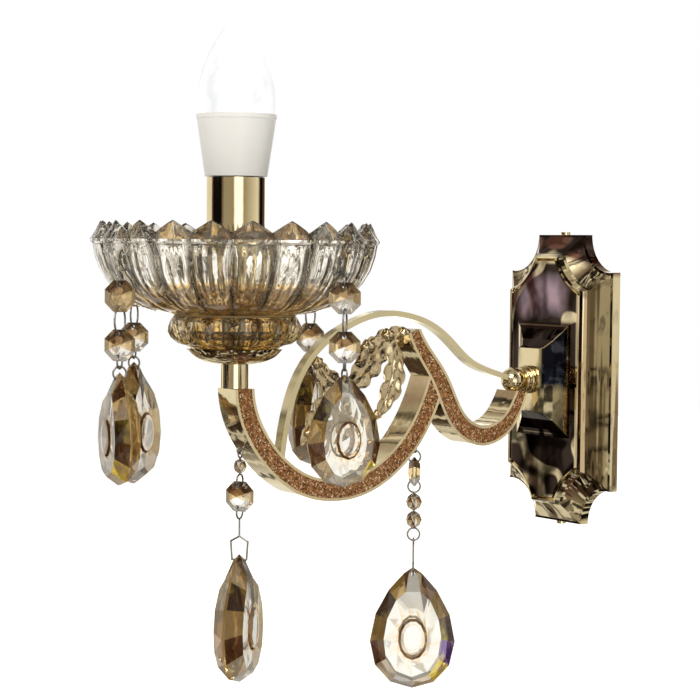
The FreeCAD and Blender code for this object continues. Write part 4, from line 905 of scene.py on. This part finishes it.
class SCONCE_OT_crystals(bpy.types.Operator):
    """Cuts the pendants and beads of the six strings"""
    bl_idname = "sconce.crystals"
    bl_label = "Crystal strings"

    def execute(self, context):
        tint, size = context.scene.sconce_colours, context.scene.sconce_sizes
        # painted facet tones: umber and black reflections, yellow and violet fire
        dark = (tint.umber_reflection, tint.black_reflection, tint.lemon, tint.violet)
        champagne = cut_crystal("champagne crystal", tint.drop, tint.honey, *dark)
        clear = cut_crystal("clear crystal", tint.clear, (0.66, 0.50, 0.26), *dark)
        for name in STRINGS:
            self.pendant(name, champagne, size.step / MM)
            self.beads(name, clear)
        return {"FINISHED"}

    def pendant(self, name, crystal, step):
        low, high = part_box("pendant_" + name)
        tall = (high.z - low.z) / MM
        points, faces, tones = cut_pear(tall, tall * PEAR_WIDTH, step)
        if name not in VIOLET_STRINGS:
            tones = [RIM_DARK_REFLECTION if tone == RIM_VIOLET else tone for tone in tones]
        facing = PENDANT_FACING[name]
        place = turned_frame((low + high) / 2, facing) @ Matrix.Scale(MM, 4)
        hole = Vector(((low.x + high.x) / 2, (low.y + high.y) / 2, high.z - PEAR_HOLE))
        cut_piece("drop_" + name, [place @ Vector(p) for p in points], faces, tones, crystal, "drop_" + name,
                  "pendant_" + name, [(hole, facing)])

    def beads(self, name, crystal):
        shapes, shades, holes, facing = [], [], [], BEAD_FACING[name]
        for number, (low, high) in enumerate(islands("beads_" + name)):
            centre, tall = (low + high) / 2, (high.z - low.z) / MM
            if tall > SMALLEST_OCTAGON:
                points, faces, tones = cut_octagon(OCTAGON_ACROSS, OCTAGON_THICK)
                if number == 0 and name in AMBER_TOP_STRINGS:
                    tones = [max(0.2, tone) for tone in tones]
                place = turned_frame(centre, facing)
                holes += [(centre + Vector((0, 0, side * OCTAGON_HOLE)), facing) for side in (1, -1)]
            else:
                points, faces = round_cut(tall)
                # painted tones in turn round the facets, for reflections
                tones = [0.2 * (k % 3) for k in range(len(faces))]
                place = Matrix.Translation(centre)
            place = place @ Matrix.Scale(MM, 4)
            shapes.append(([place @ Vector(p) for p in points], faces))
            shades += tones
        points, faces = gathered(shapes)
        cut_piece("cut_beads_" + name, points, faces, shades, crystal, "string_" + name, "beads_" + name,
                  holes)


class SCONCE_OT_stage(bpy.types.Operator):
    """Sets the floor, the studio light and the camera"""
    bl_idname = "sconce.stage"
    bl_label = "Floor, light and camera"

    def execute(self, context):
        scene = context.scene
        self.floor(scene, CAD_BOX[0][2] - scene.sconce_stage.floor)
        self.world(scene)
        self.camera(scene, scene.sconce_stage)
        self.key_light(scene, Vector((0.9, -1.3, 1.2)), Vector((0, -0.14, 0)))
        scene.view_settings.view_transform = "Standard"
        return {"FINISHED"}

    def floor(self, scene, level):
        look = Finish("pale floor", {"Roughness": 0.8, "Emission Strength": 0.8})
        look.paint("Base Color", look.mix(look.noise(3), (0.92, 0.92, 0.91), (0.95, 0.95, 0.94)))
        look.paint("Emission Color", look.mix(look.noise(3), WHITE, (0.99, 0.99, 0.985)))
        half = 4  # metres
        corners = [(x * half, y * half, level) for x, y in ((-1, -1), (1, -1), (1, 1), (-1, 1))]
        mesh = new_mesh("floor", corners, [(0, 1, 2, 3)])
        mesh.materials.append(look.material)
        floor = bpy.data.objects.new("floor", mesh)
        scene.collection.objects.link(floor)
        floor.visible_glossy = False
        floor.visible_transmission = False

    def world(self, scene):
        """Light and dark zones of a furnished room, and a white backdrop for the camera."""
        world = bpy.data.worlds.new("studio")
        world.use_nodes = True
        world.node_tree.nodes.clear()
        net = Network(world.node_tree)
        ray = net.add("ShaderNodeTexCoord", out="Generated")
        parts = net.add("ShaderNodeSeparateXYZ", {}, {0: ray})
        across, deep, up = (parts.output(axis) for axis in "XYZ")
        azimuth = across.maths("ARCTAN2", across, deep * -1.0) / (2 * math.pi) + 0.5
        black, brown, tan = (0.006, 0.005, 0.005), (0.07, 0.045, 0.028), (0.40, 0.36, 0.28)
        cream, white = (0.95, 0.92, 0.84), (2.1, 2.1, 2.05)

        def band(*stops):
            """Tones round the room, each at an angle in degrees."""
            return net.ramp(azimuth, *((angle / 360 + 0.5, tone) for angle, tone in stops))

        def shapes(scale, distortion, low, high):
            """Soft-edged shapes: 0 below the low level of a distorted noise, 1 above the high one."""
            noise = net.add("ShaderNodeTexNoise", {}, {"Vector": ray, "Scale": scale, "Detail": 2.5,
                                                       "Roughness": 0.5, "Distortion": distortion})
            return noise.past(low, high - low)

        middle = band((-180, black), (-160, brown), (-148, cream), (-125, white), (-85, cream), (-52, cream),
                      (-46, brown), (-42, black), (0, black), (12, tan), (48, tan), (56, white), (80, white),
                      (90, tan), (152, cream), (165, black), (180, black))
        upper = band((-180, brown), (-140, tan), (-110, cream), (-85, tan), (-56, tan), (-46, black),
                     (-22, black), (-8, tan), (4, white), (38, white), (50, brown), (85, black), (110, tan),
                     (140, white), (160, brown), (180, brown))
        lower = band((-180, black), (-150, tan), (-110, cream), (-80, brown), (-40, black), (0, brown),
                     (30, tan), (60, brown), (80, cream), (95, brown), (130, black), (180, black))
        blend = 1 / 8  # softness of the steps between bands, as a share of the ray's height
        away = ((abs(up) - 0.04) * 12).clamped()  # keeps the horizon plain
        tone = net.coated(middle, (up.past(0.28, blend), upper), (up.before(-0.24, blend), lower),
                          (up.past(0.78, blend), (0.46, 0.42, 0.32)), (up.before(-0.80, blend), brown),
                          (shapes(2.1, 0.6, 0.52, 0.64) * 0.4, (0.30, 0.14, 0.15)),
                          (shapes(3.2, 1.4, 0.54, 0.60) * away * 0.9, black),
                          (shapes(3.7, 2.2, 0.57, 0.60) * away * 0.75, cream))
        room = net.add("ShaderNodeBackground", {}, {"Color": tone, "Strength": 1.0})
        plain = net.add("ShaderNodeBackground", {}, {"Color": (1, 1, 1, 1), "Strength": 1.0})
        camera = net.add("ShaderNodeLightPath", out="Is Camera Ray")
        both = net.add("ShaderNodeMixShader", {}, {0: camera, 1: room, 2: plain})
        end = net.tree.nodes.new("ShaderNodeOutputWorld")
        net.tree.links.new(both.socket, end.inputs["Surface"])
        scene.world = world

    def camera(self, scene, stage):
        target = Vector((0, -0.1375, 0.0172))  # the middle of the view
        sine, cosine, flat = math.sin(stage.azimuth), math.cos(stage.azimuth), math.cos(stage.elevation)
        back = Vector((sine * flat, -cosine * flat, math.sin(stage.elevation)))
        right = Vector((cosine, sine, 0))
        turn = Matrix((right, back.cross(right), back)).transposed().to_4x4()
        data = bpy.data.cameras.new("camera")
        data.sensor_width, data.lens = 36, stage.lens
        data.clip_end = 50
        camera = bpy.data.objects.new("camera", data)
        scene.collection.objects.link(camera)
        camera.matrix_world = (Matrix.Translation(target + back * stage.distance) @ turn
                               @ Matrix.Rotation(stage.roll, 4, "Z"))
        scene.camera = camera

    def key_light(self, scene, spot, aim):
        data = bpy.data.lights.new("key light", "AREA")
        data.size, data.energy, data.color = 0.9, 14, (1.0, 0.96, 0.90)
        lamp = bpy.data.objects.new("key light", data)
        scene.collection.objects.link(lamp)
        turn = (aim - spot).to_track_quat("-Z", "Y").to_matrix().to_4x4()
        lamp.matrix_world = Matrix.Translation(spot) @ turn


OPERATORS = (SCONCE_OT_metal, SCONCE_OT_bulb, SCONCE_OT_dish, SCONCE_OT_spray, SCONCE_OT_crystals,
             SCONCE_OT_stage)
GROUPS = {"sconce_colours": SconceColours, "sconce_sizes": SconceSizes, "sconce_stage": SconceStage}


class SCONCE_PT_panel(bpy.types.Panel):
    """Lists the sconce's settings and its operators"""
    bl_label = "Crystal wall sconce"
    bl_idname = "SCONCE_PT_panel"
    bl_space_type = "VIEW_3D"
    bl_region_type = "UI"
    bl_category = "Sconce"

    def draw(self, context):
        for name, group in GROUPS.items():
            column = self.layout.box().column()
            for prop in group.__annotations__:
                column.prop(getattr(context.scene, name), prop)
        for operator in OPERATORS:
            self.layout.operator(operator.bl_idname)


def register():
    for group in GROUPS.values():
        bpy.utils.register_class(group)
    for name, group in GROUPS.items():
        setattr(bpy.types.Scene, name, PointerProperty(type=group))
    for operator in (*OPERATORS, SCONCE_PT_panel):
        bpy.utils.register_class(operator)


def unregister():
    for operator in (*OPERATORS, SCONCE_PT_panel):
        bpy.utils.unregister_class(operator)
    for name, group in GROUPS.items():
        delattr(bpy.types.Scene, name)
        bpy.utils.unregister_class(group)


def main():
    register()
    bpy.ops.sconce.metal()
    bpy.ops.sconce.bulb()
    bpy.ops.sconce.dish()
    bpy.ops.sconce.spray()
    bpy.ops.sconce.crystals()
    bpy.ops.sconce.stage()


if __name__ == "__main__":
    main()
